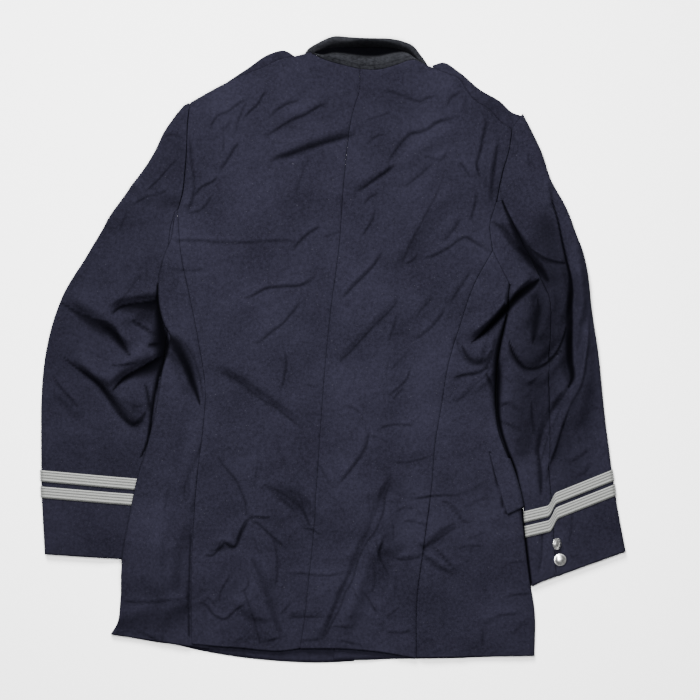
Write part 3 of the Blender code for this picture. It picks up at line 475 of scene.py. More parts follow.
# Creases of the back, upper half: the yoke, the press creases and the drags to the underarms.
UPPER_CREASES = creases(
    ((268, 171, 271, 165, 277, 159, 285, 157, 305, 150, 323, 144, 340, 139.5, 350, 137, 361, 134), 3.4, 5, 14),
    ((262, 139, 275, 132, 291, 122, 305, 116, 317, 109, 332, 102), 1.8, 3.6, 9),
    ((268, 121, 281, 109, 304, 100), 1.8, 5, 8),
    ((245, 121, 250, 113, 257, 107, 262, 99, 268, 88), 1.9, 3.2, 6),
    ((209, 134, 213, 125, 218, 117, 229, 112.5, 239, 105, 251, 99), 1.4, 3, 6),
    ((236, 135, 239, 122, 242, 114, 248, 101), 1.2, 3, 5),
    ((225, 131, 229, 125, 231, 117), 0.9, 2.6, 4),
    ((221, 173, 225.5, 165, 231, 157, 237, 147, 242, 143), 2.4, 4.6, 8),
    ((225, 157, 225, 138, 223, 122), 0.9, 5, 6),
    ((194, 198, 202, 188, 215, 181, 220, 174), 1.7, 3.2, 6),
    ((186, 214, 198, 212, 208, 204, 213, 194), 1.3, 3, 5),
    ((189, 213, 194, 198, 195.5, 186, 194.5, 172, 192, 155, 191, 140, 190, 127), 2.8, 4.4, 5, (0.1, 0.3)),
    ((297, 200, 300, 184, 306, 168, 312, 155), 1, 8, 9),
    ((290, 222, 287, 205, 280, 190, 272, 176), 0.6, 5, 8),
    ((377, 93, 393, 94, 407, 99, 418, 103, 428, 99.5, 441, 95), 1.5, 5, 8),
    ((447, 109, 451, 99, 462, 92.5), 1.3, 3, 5),
    ((386, 167, 393, 156, 402, 144, 412, 134.5, 418, 134, 428, 130.5, 438, 123.5, 448, 121, 461, 117), 2.3, 4.4, 9),
    ((367, 145, 374, 138.5, 386, 134.5), 1.1, 2.8, 5),
    ((366, 122, 380, 117, 392, 112), 0.9, 3, 6),
    ((352, 192.5, 362, 189.5, 372, 182.5, 385, 173.5, 394, 167, 400, 164.5), 2.1, 3.6, 7),
    ((364, 206.5, 369, 199, 381, 192.5), 1.3, 2.8, 5),
    ((362, 238, 367.5, 229, 373.5, 219, 375.5, 208), 1.8, 3.4, 6),
    ((402, 190, 412, 182.5, 425, 172, 434, 163), 1.5, 6.5, 9),
    ((438, 163, 444, 158, 447, 151), 1.1, 2.8, 4),
    ((422, 156, 433, 159.5, 440, 162), 0.9, 2.8, 4),
    ((402, 275, 406, 260, 412, 245.5, 419.5, 231, 428.5, 214, 438, 196, 449, 170), 5.2, 13, 17, (0.15, 0.3)),
    ((443, 244, 450, 236, 457, 227, 463, 218), 2.2, 7, 9),
    ((457, 161, 464, 170, 470, 180), 1.4, 4, 6),
    ((471, 222, 473.5, 212, 476, 202, 475, 190), 1.5, 3.4, 5),
    ((466, 117, 466, 92), -0.6, 1.4),
    ((485, 186, 480, 174, 477.5, 164, 480.5, 155, 482.5, 143.5, 485.5, 130, 488.5, 116), 2.6, 4.6, 6),
    ((494, 207, 492.5, 190, 494, 175, 496.5, 160, 498.5, 145, 500, 134), 3.4, 6.5, 6),
    ((173, 241.5, 201, 241.5, 226, 243.5, 252, 243, 281, 241.5, 300, 242.5), 1.3, 3.4, 6, (0.04, 0.1)),
    ((292, 253, 299, 243.5, 306, 236.5, 313, 231.5, 324, 226), 2.3, 4.2, 6),
    ((322, 239, 332, 235, 342, 232), 0.9, 3, 5),
    ((170, 271, 188, 272, 206, 271), 1.1, 7, 8),
    ((171, 214, 168, 228, 164, 245, 162, 262, 160, 278), -2, 8),
    ((330, 96, 318, 98, 305, 97), 0.6, 3, 6),
)
# Creases of the back, middle: the small of the back and the drags from the right underarm.
MIDDLE_CREASES = creases(
    ((241, 300.5, 256, 295, 266, 289.5, 281, 287.5, 304, 285, 312, 280, 319, 274), 2.5, 3.8, 9),
    ((250, 344, 260, 342, 270, 334, 281, 326, 292, 314, 300, 304, 308, 298), 1.5, 3.4, 8),
    ((281, 392, 284.5, 380, 287, 366, 285, 349), 1.7, 3.4, 6),
    ((204, 364, 215, 371, 229, 378, 241, 386, 251, 394, 262, 402, 274, 409, 284, 417, 294, 425, 302, 433), 2.6, 12,
     16, (0.3, 0.12)),
    ((304, 384, 310, 386, 318, 389), 0.8, 2.6, 4),
    ((338, 304, 349.5, 292, 360, 281, 370, 271, 380, 258, 386, 245), 2.6, 5.4, 10),
    ((335, 368, 345, 359, 356, 348, 366, 337, 376, 326, 387, 316, 395, 307, 402, 293), 2.6, 9, 14, (0.15, 0.2)),
    ((405, 265, 412, 261.5, 418, 255), 1.4, 2.8, 4),
    ((418, 260, 431, 258, 441, 253, 451, 247.5, 459, 241, 466, 238.5, 474, 243, 484, 249, 492, 253), 1.9, 4.6, 7),
    ((412, 342, 422, 336, 433, 327, 442, 316, 448, 304), 1.4, 5, 8),
    ((415, 323, 421, 312, 429, 303, 436, 295), 1.3, 6.5, 9),
    ((449, 308, 458, 292, 465, 282, 474, 267), 1.6, 6, 8),
    ((388, 345, 392, 333, 395.5, 323, 398, 311), 1, 2.8, 5),
    ((386, 380, 388, 366, 391, 352), 0.6, 2.6, 5),
    ((390, 372, 400, 361, 412, 348), 0.6, 2.6, 5),
    ((387, 399, 392, 394, 402, 385.5, 408, 377.5, 412, 365), 1.1, 2.6, 4),
    ((393, 401, 397, 395, 405, 388), 0.8, 2.4, 3),
    # The pocket of cloth under the right arm: its lip, the hollow and the roll round it.
    SLOT,
    ((457, 334, 458, 346, 463, 357, 472, 364, 482, 365, 490, 360), -3, 7),
    ((452, 384, 462, 377, 474, 374, 484, 370, 491, 361, 495, 348, 497, 335), 3, 5, 4.5, (0.2, 0.1)),
    ((497, 340, 495, 352, 490, 366, 482, 377, 471, 386, 460, 392), 3.6, 6, 5, (0.1, 0.3)),
    ((452, 405, 461, 400, 470, 392, 480, 382), 2.4, 8, 8),
    # The valley of the left side body, behind the roll that lies on the sleeve.
    ((200, 404, 198, 392, 194, 378, 188, 364, 181, 352, 172, 342), 5, 8, 9, (0.45, 0.05)),
    ((176, 336, 185, 345, 192, 358, 198, 374, 201, 392, 202, 406), 2.4, 6, 7),
    ((188, 292, 180, 300, 172, 308), 0.8, 6, 6),
)
# Creases of the back, lower half, on both sides of the centre seam.
LOWER_CREASES = creases(
    ((187, 510, 186, 494, 188, 481, 194, 467, 200, 453, 203, 437), 3, 8, 10),
    ((165, 515, 167, 502, 169.5, 486), 0.9, 2.6, 5),
    ((178, 600, 181, 582, 182.5, 562, 181, 546, 176, 530), 2.8, 14, 12),
    ((218, 456, 223.5, 466, 232, 477, 239, 488, 244, 501, 248, 513), 1.3, 4.2, 7),
    ((254.5, 488, 257, 473, 259, 455), 0.8, 3, 5),
    # The star of short creases left of the centre seam.
    ((262, 484.5, 274, 495, 282, 501, 290, 509, 298, 515), 2.8, 9, 9, (0.3, 0.2)),
    ((310, 527, 305, 511, 300, 497, 290, 492), 1.9, 3, 5, (0.1, 0.3)),
    ((303, 528.5, 314, 531, 321, 536), 1.5, 2.6, 4),
    ((249, 516, 260, 518.5, 272, 519), 1.4, 2.6, 4, (0.1, 0.3)),
    ((236.5, 549, 240, 539, 244, 530, 249, 520, 251, 515), 2.6, 4.4, 5, (0.1, 0.2)),
    ((223, 541, 229, 546, 236, 549.5), 2.2, 4, 4),
    ((203, 555, 213, 556, 218, 551, 223.5, 545, 226, 537), 1.7, 2.8, 5),
    ((250, 521, 258, 524, 265, 530.5, 272, 537.5, 281, 545, 285, 551), 1.8, 3.2, 5),
    ((253, 533, 255, 544, 259, 555), 0.8, 2.6, 4),
    ((275, 594, 279, 577, 279.5, 560, 277, 545, 271, 528), 2.9, 12, 14),
    ((236, 580, 243, 600, 250, 620, 256, 644), 3.4, 22, 10, (0.3, 0.02)),
    ((252, 572, 258, 585, 266, 602, 273, 618, 281, 639), -0.8, 2.2),
    ((290, 470, 282, 450, 278, 430), 0.8, 12, 12),
    # The hem's left corner.
    ((122, 602, 140, 603, 160, 602, 176, 600, 190, 598), 1.2, 3.2, 6, (0.05, 0.02)),
    ((163, 643, 169, 631, 177, 619, 190, 606), 4, 15, 14, (0.02, 0.02)),
    ((112, 634, 125, 633, 134, 626), 0.9, 2.6, 4),
    ((136, 637, 148, 621, 150, 612), 0.8, 3, 5),
    ((194, 602, 206, 606, 213, 615, 224, 620, 236, 611, 245, 605, 254, 603), 1.5, 3.4, 6),
    ((202, 605, 208, 599, 215, 607), 1, 3, 4),
    ((220, 602, 221, 593, 229, 578, 231, 573), 1.2, 2.8, 5),
    ((238, 595, 248, 587, 249, 580, 240, 571), 1.1, 2.8, 4),
    ((284, 574, 300, 574, 320, 576, 336, 575, 346, 571), 1.1, 2.8, 5),
    ((286, 619, 300, 618.5, 312, 618, 326, 617), 2.2, 9, 8),
    ((280, 615, 287, 608, 293, 601), 0.9, 2.4, 4),
    ((298, 642, 310, 641, 322, 639), 1, 3, 5),
    # Right of the centre seam, above the long fold.
    ((337, 488, 344, 479.5, 352, 469.5, 361, 457, 367, 446, 369.5, 434, 371, 423), 2.4, 5.4, 9),
    ((376, 432, 385, 427, 397, 425, 415, 426), 1.2, 2.6, 5),
    ((366, 436, 377, 438, 388, 443), 0.8, 3, 5),
    ((390, 464, 405, 465, 420, 462, 436, 457), 1.7, 14, 10),
    ((315, 459, 320.5, 468, 326, 477, 331, 486, 338, 488), 0.9, 2.4, 5),
    ((341, 404, 350, 407, 362, 414), 0.7, 2.6, 4),
    ((329, 494, 338, 504, 347, 519), 0.6, 3, 5),
    ((371, 513, 369.5, 501, 368.5, 489), 1, 2.4, 4),
    ((318, 650, 327, 637, 334, 624, 342, 609, 347, 594, 354, 582, 358, 568, 363, 554, 369, 543, 377, 532, 382, 521,
     386.5, 508, 387, 497, 391, 487, 398, 474), 4.4, 13, 15, (0.12, 0.1)),
    ((392, 579, 385, 566, 380, 555, 382, 545, 385, 535), 2.6, 3.6, 5),
    ((372, 596, 376, 580, 375, 566), 1.2, 5, 6),
    ((361, 589, 367, 598, 372, 606, 377, 614), 1.6, 3.4, 5),
    ((352, 586, 356, 596, 362, 606), 0.9, 3, 5),
    ((394, 602, 396, 590, 394, 582), 1, 5, 6),
    ((386, 618, 393, 613, 401, 606), 0.7, 2.4, 4),
    ((384, 632, 398, 633.5, 414, 631), 1.1, 3.2, 6),
    ((337, 640, 352, 643.5, 361, 646, 364, 652), 1.1, 2.2, 4),
    ((330, 627, 345, 627, 356, 629), 0.9, 3, 6),
    ((345, 651, 365, 655, 400, 659), 1, 2.6, 5),
    # Right side body, under the pocket flap.
    ((386, 501, 394, 503, 402, 502), 0.9, 4, 5),
    ((409, 500, 421, 498.5, 430, 497, 447, 496, 462, 496), 1.8, 3.2, 6),
    ((438, 499, 449, 505, 456, 513, 462, 521, 472, 524), 1.6, 4.4, 6),
    ((462, 496, 475, 489, 491, 479), 0.8, 3, 6),
    ((461, 510, 475, 503, 491, 496), 0.8, 3, 6),
    ((395, 541, 394, 530, 394.5, 521), 1, 3, 4),
    ((395, 514, 402, 509, 415, 508.5), 1.1, 2.4, 4),
    ((402, 522, 414, 521.5, 421, 524, 429, 524), 0.9, 2.4, 4),
    ((422, 550, 432, 544.5, 443, 537, 452, 530, 461, 524), 2.8, 6.4, 7, (0.06, 0.3)),
    ((387, 556, 403, 561, 421, 558), 2, 7, 6, (0.3, 0.05)),
    ((423, 557, 433, 565, 443, 571, 455, 577), 2.1, 5, 6, (0.06, 0.3)),
    ((436, 549, 443, 558, 450, 566, 457, 573), 2.4, 4, 5),
    ((458, 554, 463, 559, 470, 564), 0.9, 2.6, 4),
    ((467, 541, 475, 537, 485, 532), 0.9, 2.6, 4),
    ((457, 549, 469, 546.5, 484, 546.5), 0.9, 2.6, 5),
    ((484, 605, 489, 598, 484.5, 588, 481.5, 567), 1.4, 3.2, 6),
    ((506, 598, 515, 595.5, 528, 595), 1.4, 3.4, 6, (0.2, 0.05)),
    ((493, 622, 498, 616.5, 508, 615, 520, 614.5), 1.2, 2.6, 5),
    ((511, 636, 519, 628.5, 527, 620), 1.3, 2.6, 4),
    ((482, 650, 484, 635, 487, 624, 494, 618), 1.4, 7, 8),
    ((505, 565, 515, 563, 526, 562), 0.8, 3, 6),
    ((440, 600, 442, 620, 438, 640), 0.7, 8, 10),
)
BODY_CREASES = UPPER_CREASES + MIDDLE_CREASES + LOWER_CREASES
# Painted shade where the light hardly reaches: between the body and its sleeves, and deep in the folds.
SLOT_SHADE = ((538, 280, 2, 2, 534, 283, 4, 3, 527, 289, 4.6, 4, 515, 299, 4.4, 4.2, 505, 310, 4, 4, 494, 322, 3.4,
    3.4, 483, 333, 2.4, 2.2, 471, 343, 0.5, 0.5), 0.97, 3.2)
RIGHT_VALLEY_SHADE = ((507, 315, 1, 1, 503, 330, 2, 2.6, 499, 345, 2.4, 3.4, 497, 358, 3, 4, 497.5, 375, 4.4, 5.5, 497, 395,
    4, 5, 498, 412, 2.6, 3.4, 501, 430, 2, 2.4, 507, 449, 1.8, 1.8, 515, 470, 1.8, 2, 519, 492, 1.8, 1.8, 522, 512,
    1.5, 1.5, 526, 545, 1.5, 1.2, 531, 584, 1.2, 0.8), 0.95)
LEFT_VALLEY_SHADE = ((158, 284, 0.8, 1, 158, 297, 1, 3, 159, 308, 1.2, 6, 162, 322, 1.6, 8.5, 165, 335, 3, 13, 167, 346, 4,
    15, 165, 358, 1.6, 8, 161, 371, 1, 5, 156, 391, 1, 3.2, 153, 409, 1, 3, 150, 430, 1, 2.2, 146, 446, 1, 1.5, 141,
    457, 0.8, 1), 0.96, 2.8)
BODY_SHADES = shades(
    SLOT_SHADE,
    RIGHT_VALLEY_SHADE,
    LEFT_VALLEY_SHADE,
    ((462, 346, 1, 1, 467, 356, 2.4, 2.4, 477, 363, 3.4, 3, 486, 360, 3, 2, 491, 351, 1, 1), 0.5),
    ((455, 377, 0.8, 0.8, 466, 374.5, 1.2, 1.4, 478, 373, 1.4, 1.4, 488, 367, 1, 1), 0.5),
    ((486, 374, 1, 1, 491, 383, 2.6, 2.6, 495, 397, 3, 3, 496, 408, 1, 1), 0.6),
    ((165, 336, 4, 6, 175, 343, 6, 8, 182, 355, 6.5, 7, 188, 368, 5.5, 5, 192.5, 381, 4, 4, 197, 394, 2, 2.4, 200,
     404, 0.6, 1), 0.76, 2.4),
    ((264, 484.5, 0.5, 0.5, 276, 490, 1.6, 1, 287, 496, 3.6, 2.6, 298, 504, 3.4, 3, 305, 514, 1.8, 2, 310, 526, 0.8,
     0.8), 0.36),
    ((211, 551, 1, 1, 216, 550, 1, 1, 222.5, 540, 1, 1, 232, 547.5, 1, 1, 236, 545, 1.4, 1.2, 241, 531, 1.8, 1, 246.5,
     520, 1, 1, 256, 516.5, 0.9, 0.9, 270, 517, 0.6, 0.6), 0.34),
    ((218, 456, 0.6, 0.6, 224, 466, 1, 0.8, 233, 476, 1.2, 0.8, 240, 488, 1.2, 0.8, 245, 501, 1, 0.8, 246, 515, 0.6,
     0.6), 0.3),
    ((323, 638, 2.4, 0.8, 335, 606, 4, 1, 350, 573, 4, 1, 362, 545, 4.4, 1.2, 371, 522, 5, 1.4, 381, 495, 5, 1.6, 391,
     474, 2, 1), 0.2),
    ((191, 535, 0.8, 0.8, 189, 570, 1.6, 0.8, 187.5, 608, 2.6, 0.8, 189, 636, 1.4, 0.8), 0.4),
    ((186, 528, 4, 4, 180, 556, 7, 7, 176, 585, 6, 6), 0.2, 2),
    ((120, 622, 4, 10, 150, 618, 10, 14, 176, 612, 6, 14, 187, 606, 2, 6), 0.26, 2.4),
    ((252, 560, 3, 1, 259, 577, 6, 1, 267, 600, 7, 1, 277, 630, 5, 1), 0.24),
    ((423, 549, 1, 1, 432, 540, 3, 2, 441, 531, 3, 2.4, 456, 522, 0.6, 0.6), 0.34),
    ((422, 553, 0.6, 1, 433, 560, 1, 3.4, 443, 567, 1, 4, 454, 574, 0.6, 1), 0.3),
    ((435, 548, 0.8, 0.8, 445, 559, 1.4, 1.2, 455, 571, 0.8, 0.8), 0.42),
    ((376, 540, 0.8, 1, 378, 549, 1.6, 1.4, 381, 560, 1.4, 1.2, 384, 568, 0.6, 0.6), 0.26),
    ((386, 470, 3, 3, 400, 500, 8, 8, 392, 540, 8, 12, 372, 590, 8, 12, 350, 630, 4, 6), 0.06),
    ((490, 452, 0.8, 0.8, 494, 470, 1.2, 0.8, 499.5, 492, 1.3, 0.8, 505, 511, 1.4, 0.8, 507.5, 514.5, 1.2, 0.8, 513,
     511, 1, 1.4, 520, 508, 1, 1.4), 0.62),
)
LEFT_SLEEVE_SHADES = shades(
    LEFT_VALLEY_SHADE,
    ((150, 160, 50, 50, 105, 240, 60, 60, 75, 320, 60, 80, 75, 440, 60, 80, 90, 580, 60, 70), 0.1, 3),
    ((62, 303, 0.6, 0.8, 73, 309.5, 0.8, 2.6, 84, 315, 1, 7, 96, 319, 1, 12, 106, 321.5, 1, 14, 114, 326, 1.4, 13,
     120, 337, 1.6, 8, 126, 348, 1.4, 3.6, 131, 356, 0.8, 0.8), 0.58, 3.2),
    ((99, 330, 0.8, 0.8, 107, 331, 2, 2, 115, 334, 3, 3, 121, 343, 1.6, 2), 0.25),
    ((113, 313, 0.8, 0.8, 120, 307, 1, 2.4, 131, 304, 1.2, 6, 145, 302.5, 1.6, 10, 159, 301, 2, 18), 0.8, 3),
    ((120, 309, 0.8, 2, 131, 307, 1, 8, 145, 306, 1, 16, 159, 304, 1, 28), 0.42, 3.4),
    ((139, 297, 2, 2, 150, 296, 4, 5, 158, 294, 3, 6), 0.35, 2),
    ((64, 358, 0.8, 0.8, 74, 366, 1.6, 1, 89, 377, 3, 1.4, 99, 385, 4, 1.8, 108, 398, 4.4, 2, 115, 409, 5, 1.8, 123,
     419, 7, 1.2, 133, 424.5, 8, 1, 141, 421, 5, 1, 146, 412, 1, 0.6), 0.56, 2.4),
    ((114, 390, 0.8, 0.8, 120, 381.5, 1, 2.4, 131, 373, 1, 6, 143, 366.5, 1, 10, 155, 359.5, 1.2, 15, 163, 355, 1.6,
     18), 0.86, 3),
    ((112, 365.5, 0.6, 0.6, 124, 364.5, 1, 0.8, 136, 363, 0.6, 0.6), 0.45),
    ((53.5, 377, 0.8, 0.8, 62, 389, 2, 1.2, 72, 400, 2, 1.2, 78, 407, 0.8, 0.8), 0.42),
    ((145, 384, 0.8, 0.8, 148, 396, 1.6, 2, 150, 410, 1, 2), 0.6),
    ((134, 320, 0.6, 0.6, 145, 327, 1.2, 1.4, 156, 335, 1, 1), 0.5),
    ((150, 345, 2, 2, 158, 344, 4, 5, 165, 345, 5, 8), 0.85),
)
RIGHT_SLEEVE_SHADES = shades(
    SLOT_SHADE,
    RIGHT_VALLEY_SHADE,
    ((570, 300, 1, 6, 567, 325, 3, 14, 566, 345, 4, 16, 567, 365, 4, 12, 570, 384, 1, 3), 0.42),
    ((588, 385, 12, 12, 576, 420, 22, 20, 572, 450, 26, 26, 576, 484, 16, 20), 0.17, 2.4),
    ((548, 225, 10, 14, 549, 270, 20, 20, 544, 320, 30, 22, 538, 370, 30, 24, 528, 415, 16, 20, 524, 450, 8, 12),
     0.34, 2.4),
    ((501, 199, 0.6, 0.6, 507, 213, 1, 2, 516, 231, 2, 5, 522, 244, 5, 8, 530, 256, 6, 8, 539, 268, 6, 6, 547, 280, 3,
     3), 0.72, 2.6),
    ((493, 222, 1, 1, 504, 229, 2, 3, 513, 240, 2, 5, 521, 252, 1, 3), 0.4),
    ((520, 240, 0.8, 1, 531, 249, 0.8, 4, 541, 256, 0.8, 6, 552, 260.5, 0.8, 5, 566, 263, 0.6, 1), 0.62, 2.4),
    ((551.5, 200, 0.6, 0.8, 557, 218, 1, 1.2, 562.5, 243, 1.2, 1.6, 567, 261, 1.2, 2, 571, 277, 1.4, 3, 572.5, 292,
     1.6, 5, 571.5, 306, 2, 6, 571, 326, 2.2, 7, 571, 345, 2.4, 7, 571.5, 362, 2.6, 6, 572, 379, 2.6, 3, 568, 388, 1,
     1), 0.9, 3),
    ((572, 378, 1, 2, 565, 393, 1, 4, 553, 410, 1, 6, 543, 430, 1.4, 6, 538, 452, 1, 4), 0.42),
    ((538, 299, 1, 1, 538.5, 309, 4, 4, 536, 322, 6, 7, 534, 334, 4, 5, 532, 344, 0.8, 0.8), 0.74, 1.9),
    ((509, 341, 0.8, 0.8, 513, 352, 1.4, 3, 519, 361, 1.6, 4, 527, 367.5, 1.6, 3.6, 536, 368, 1.6, 3, 546, 363, 1.4,
     2.6, 555, 354, 1.2, 2.2, 562, 341, 1.2, 1.8, 566, 327, 1, 2), 0.9),
    ((546, 358, 0.6, 0.6, 553, 357, 1.2, 1.2, 561, 351, 0.8, 0.8), 0.7),
    ((550, 300, 1, 1, 556, 318, 4, 4, 556, 336, 3, 3, 551, 348, 1, 1), 0.3, 2),
    ((576, 214, 1, 1, 580, 240, 4, 3, 583, 270, 5, 4, 584, 300, 4, 4, 581, 325, 3, 3, 577, 350, 1, 1), 0.26, 2),
    ((562, 392, 1, 1, 556, 402, 3, 3, 550, 412, 2, 2), 0.55),
    ((527, 384, 0.6, 0.6, 534, 379, 1, 1, 544, 372, 0.8, 0.8), 0.5),
    ((497, 408, 0.6, 0.6, 508, 404, 1.2, 1, 517, 409, 1.2, 1, 524, 415, 0.8, 0.8), 0.42),
    ((499, 421, 0.6, 0.6, 510, 425, 1.2, 1, 521, 430, 0.8, 0.8), 0.42),
    ((531, 402, 0.8, 0.8, 532, 416, 2.6, 2.6, 534, 432, 1.4, 1.4), 0.55),
    ((538, 448, 1, 1, 540, 470, 2.4, 3, 541, 492, 1.4, 2), 0.5),
    ((592, 330, 2, 0.8, 586, 354, 6, 1, 579, 386, 8, 1, 569, 408, 9, 1, 560, 436, 9, 1, 551, 462, 7, 1, 546, 480, 2,
     0.8), 0.26),
)
SLEEVE_SHADES = {Side.LEFT: LEFT_SLEEVE_SHADES, Side.RIGHT: RIGHT_SLEEVE_SHADES}
LEFT_SLEEVE_CREASES = creases(
    ((61, 303, 75, 316, 87, 326, 99, 333.5, 110, 339, 120, 347, 132, 360), 6, 14, 15, (0.3, 0.2)),
    ((63, 361, 75, 366, 84, 374, 95, 383, 104, 394, 113, 406, 119, 415.5, 127, 425, 134, 428, 142, 424, 148, 414),
     5.4, 8, 13, (0.3, 0.15)),
    ((114, 391, 120, 383, 131, 375, 143, 368.5, 155, 361.5, 163, 357), 6.5, 9, 12, (0.2, 0.02)),
    ((112, 314, 119, 308.5, 131, 305.5, 145, 304, 160, 303), 7, 12, 14, (0.2, 0.02)),
    ((127, 319, 140, 327, 155, 338), 2.4, 4, 6),
    ((112, 367.5, 120, 366, 129, 364.5, 137, 363.5), 1.9, 3, 4),
    ((52, 379, 59, 388, 67, 397, 75, 405, 81, 412), 2.6, 5.6, 8),
    ((80, 348, 95, 356, 113, 363), 1.3, 5, 7),
    ((56, 340, 62, 327, 70, 312), 0.7, 2.4, 4),
    ((47, 414, 51, 403, 54, 394), 0.6, 2.4, 4),
    ((118, 238, 125, 224, 130, 210, 132, 199), 1.9, 14, 12),
    ((131, 208, 140, 202, 150, 197, 161, 194.5, 172, 188), 1.6, 3.4, 5),
    ((141, 197, 150, 189, 160, 179.5, 171, 167, 184, 154), 1.5, 3, 6),
    ((160, 136, 168, 136.5, 177, 136, 181, 140), 1.4, 3, 4),
    ((104, 316, 114, 311, 124, 300, 138, 281, 145, 271), 1.6, 8, 8),
    ((62, 444, 80, 442, 96, 448), 0.8, 10, 12),
    ((120, 395, 130, 405, 146, 408), 1.4, 5, 6),
    ((70, 262, 82, 268, 96, 270), 0.6, 10, 12),
)
RIGHT_SLEEVE_CREASES = creases(
    ((492, 220, 501, 233, 509, 245, 520, 255, 530, 266.5, 540, 277, 550, 292), 7, 10, 18, (0.12, 0.25)),
    ((538, 257.5, 549, 261, 558, 263.5, 567, 264), 2.8, 3.6, 6),
    # The deep valley beside the long ridge, and the ridge itself.
    ((561, 226, 565, 240, 568, 256, 571, 277, 573, 303, 572.5, 320, 571, 338, 570, 363, 569, 384), -5.6, 8, 9,
     (0.3, 0.15)),
    ((569, 392, 564, 402, 557, 416, 549, 434, 543, 455, 538, 474), -4.5, 9),
    ((546, 478, 556, 450, 566, 420, 573, 403, 582, 385, 587, 357, 590, 329, 591, 300), 4.6, 3.4, 10, (0.1, 0.3)),
    # The tongue of cloth in the crook of the arm: the valley round it and its own hollow.
    ((572, 318, 566, 333, 558, 345, 549, 356, 539, 366, 529, 370, 520, 365, 512, 352), -4.8, 8, 9, (0.1, 0.25)),
    ((534, 292, 538, 306, 540, 322, 537, 336), -4, 6),
    SLOT,
    ((546, 356, 554, 358, 563, 350), -2.5, 5),
    ((527, 387, 535, 380.5, 545, 372.5), 2.4, 3.6, 6),
    ((528, 398, 531, 389), 1.5, 3, 4),
    ((497, 407, 510, 404, 517, 409, 524, 415), 2, 4, 6),
    ((497, 420, 508, 425, 521, 430), 1.7, 3.4, 5),
    ((509, 440.5, 516.5, 442.5, 524, 435), 1.5, 2.8, 4),
    ((501, 375, 510, 382.5, 518, 389.5, 526, 393), 1.3, 3.4, 6),
    ((532, 426, 532, 416, 534, 405), 1.8, 4, 5),
    ((568, 465, 581, 457, 591, 449), 1.8, 4.4, 7),
    ((574, 479, 586, 473, 591, 461), 1.5, 4, 6),
    ((569, 548, 572, 534, 574, 512), 1.4, 8, 7),
    ((543, 524, 542, 545, 541, 562, 536, 578), -1.6, 4),
    ((530, 170, 529, 160, 528, 150), 0.8, 3, 4),
    ((553, 210, 552, 196, 549, 182), 1.4, 5, 6),
    ((556, 220, 553, 200, 551, 186), -1, 2.4),
    ((513, 140, 517, 148, 514, 156), 1, 4, 5),
    ((510, 246, 522, 253, 540, 274), 1.6, 4, 8),
    ((545, 290, 550, 300, 549, 312), 1.4, 5, 6),
)
SLEEVE_CREASES = {Side.LEFT: LEFT_SLEEVE_CREASES, Side.RIGHT: RIGHT_SLEEVE_CREASES}


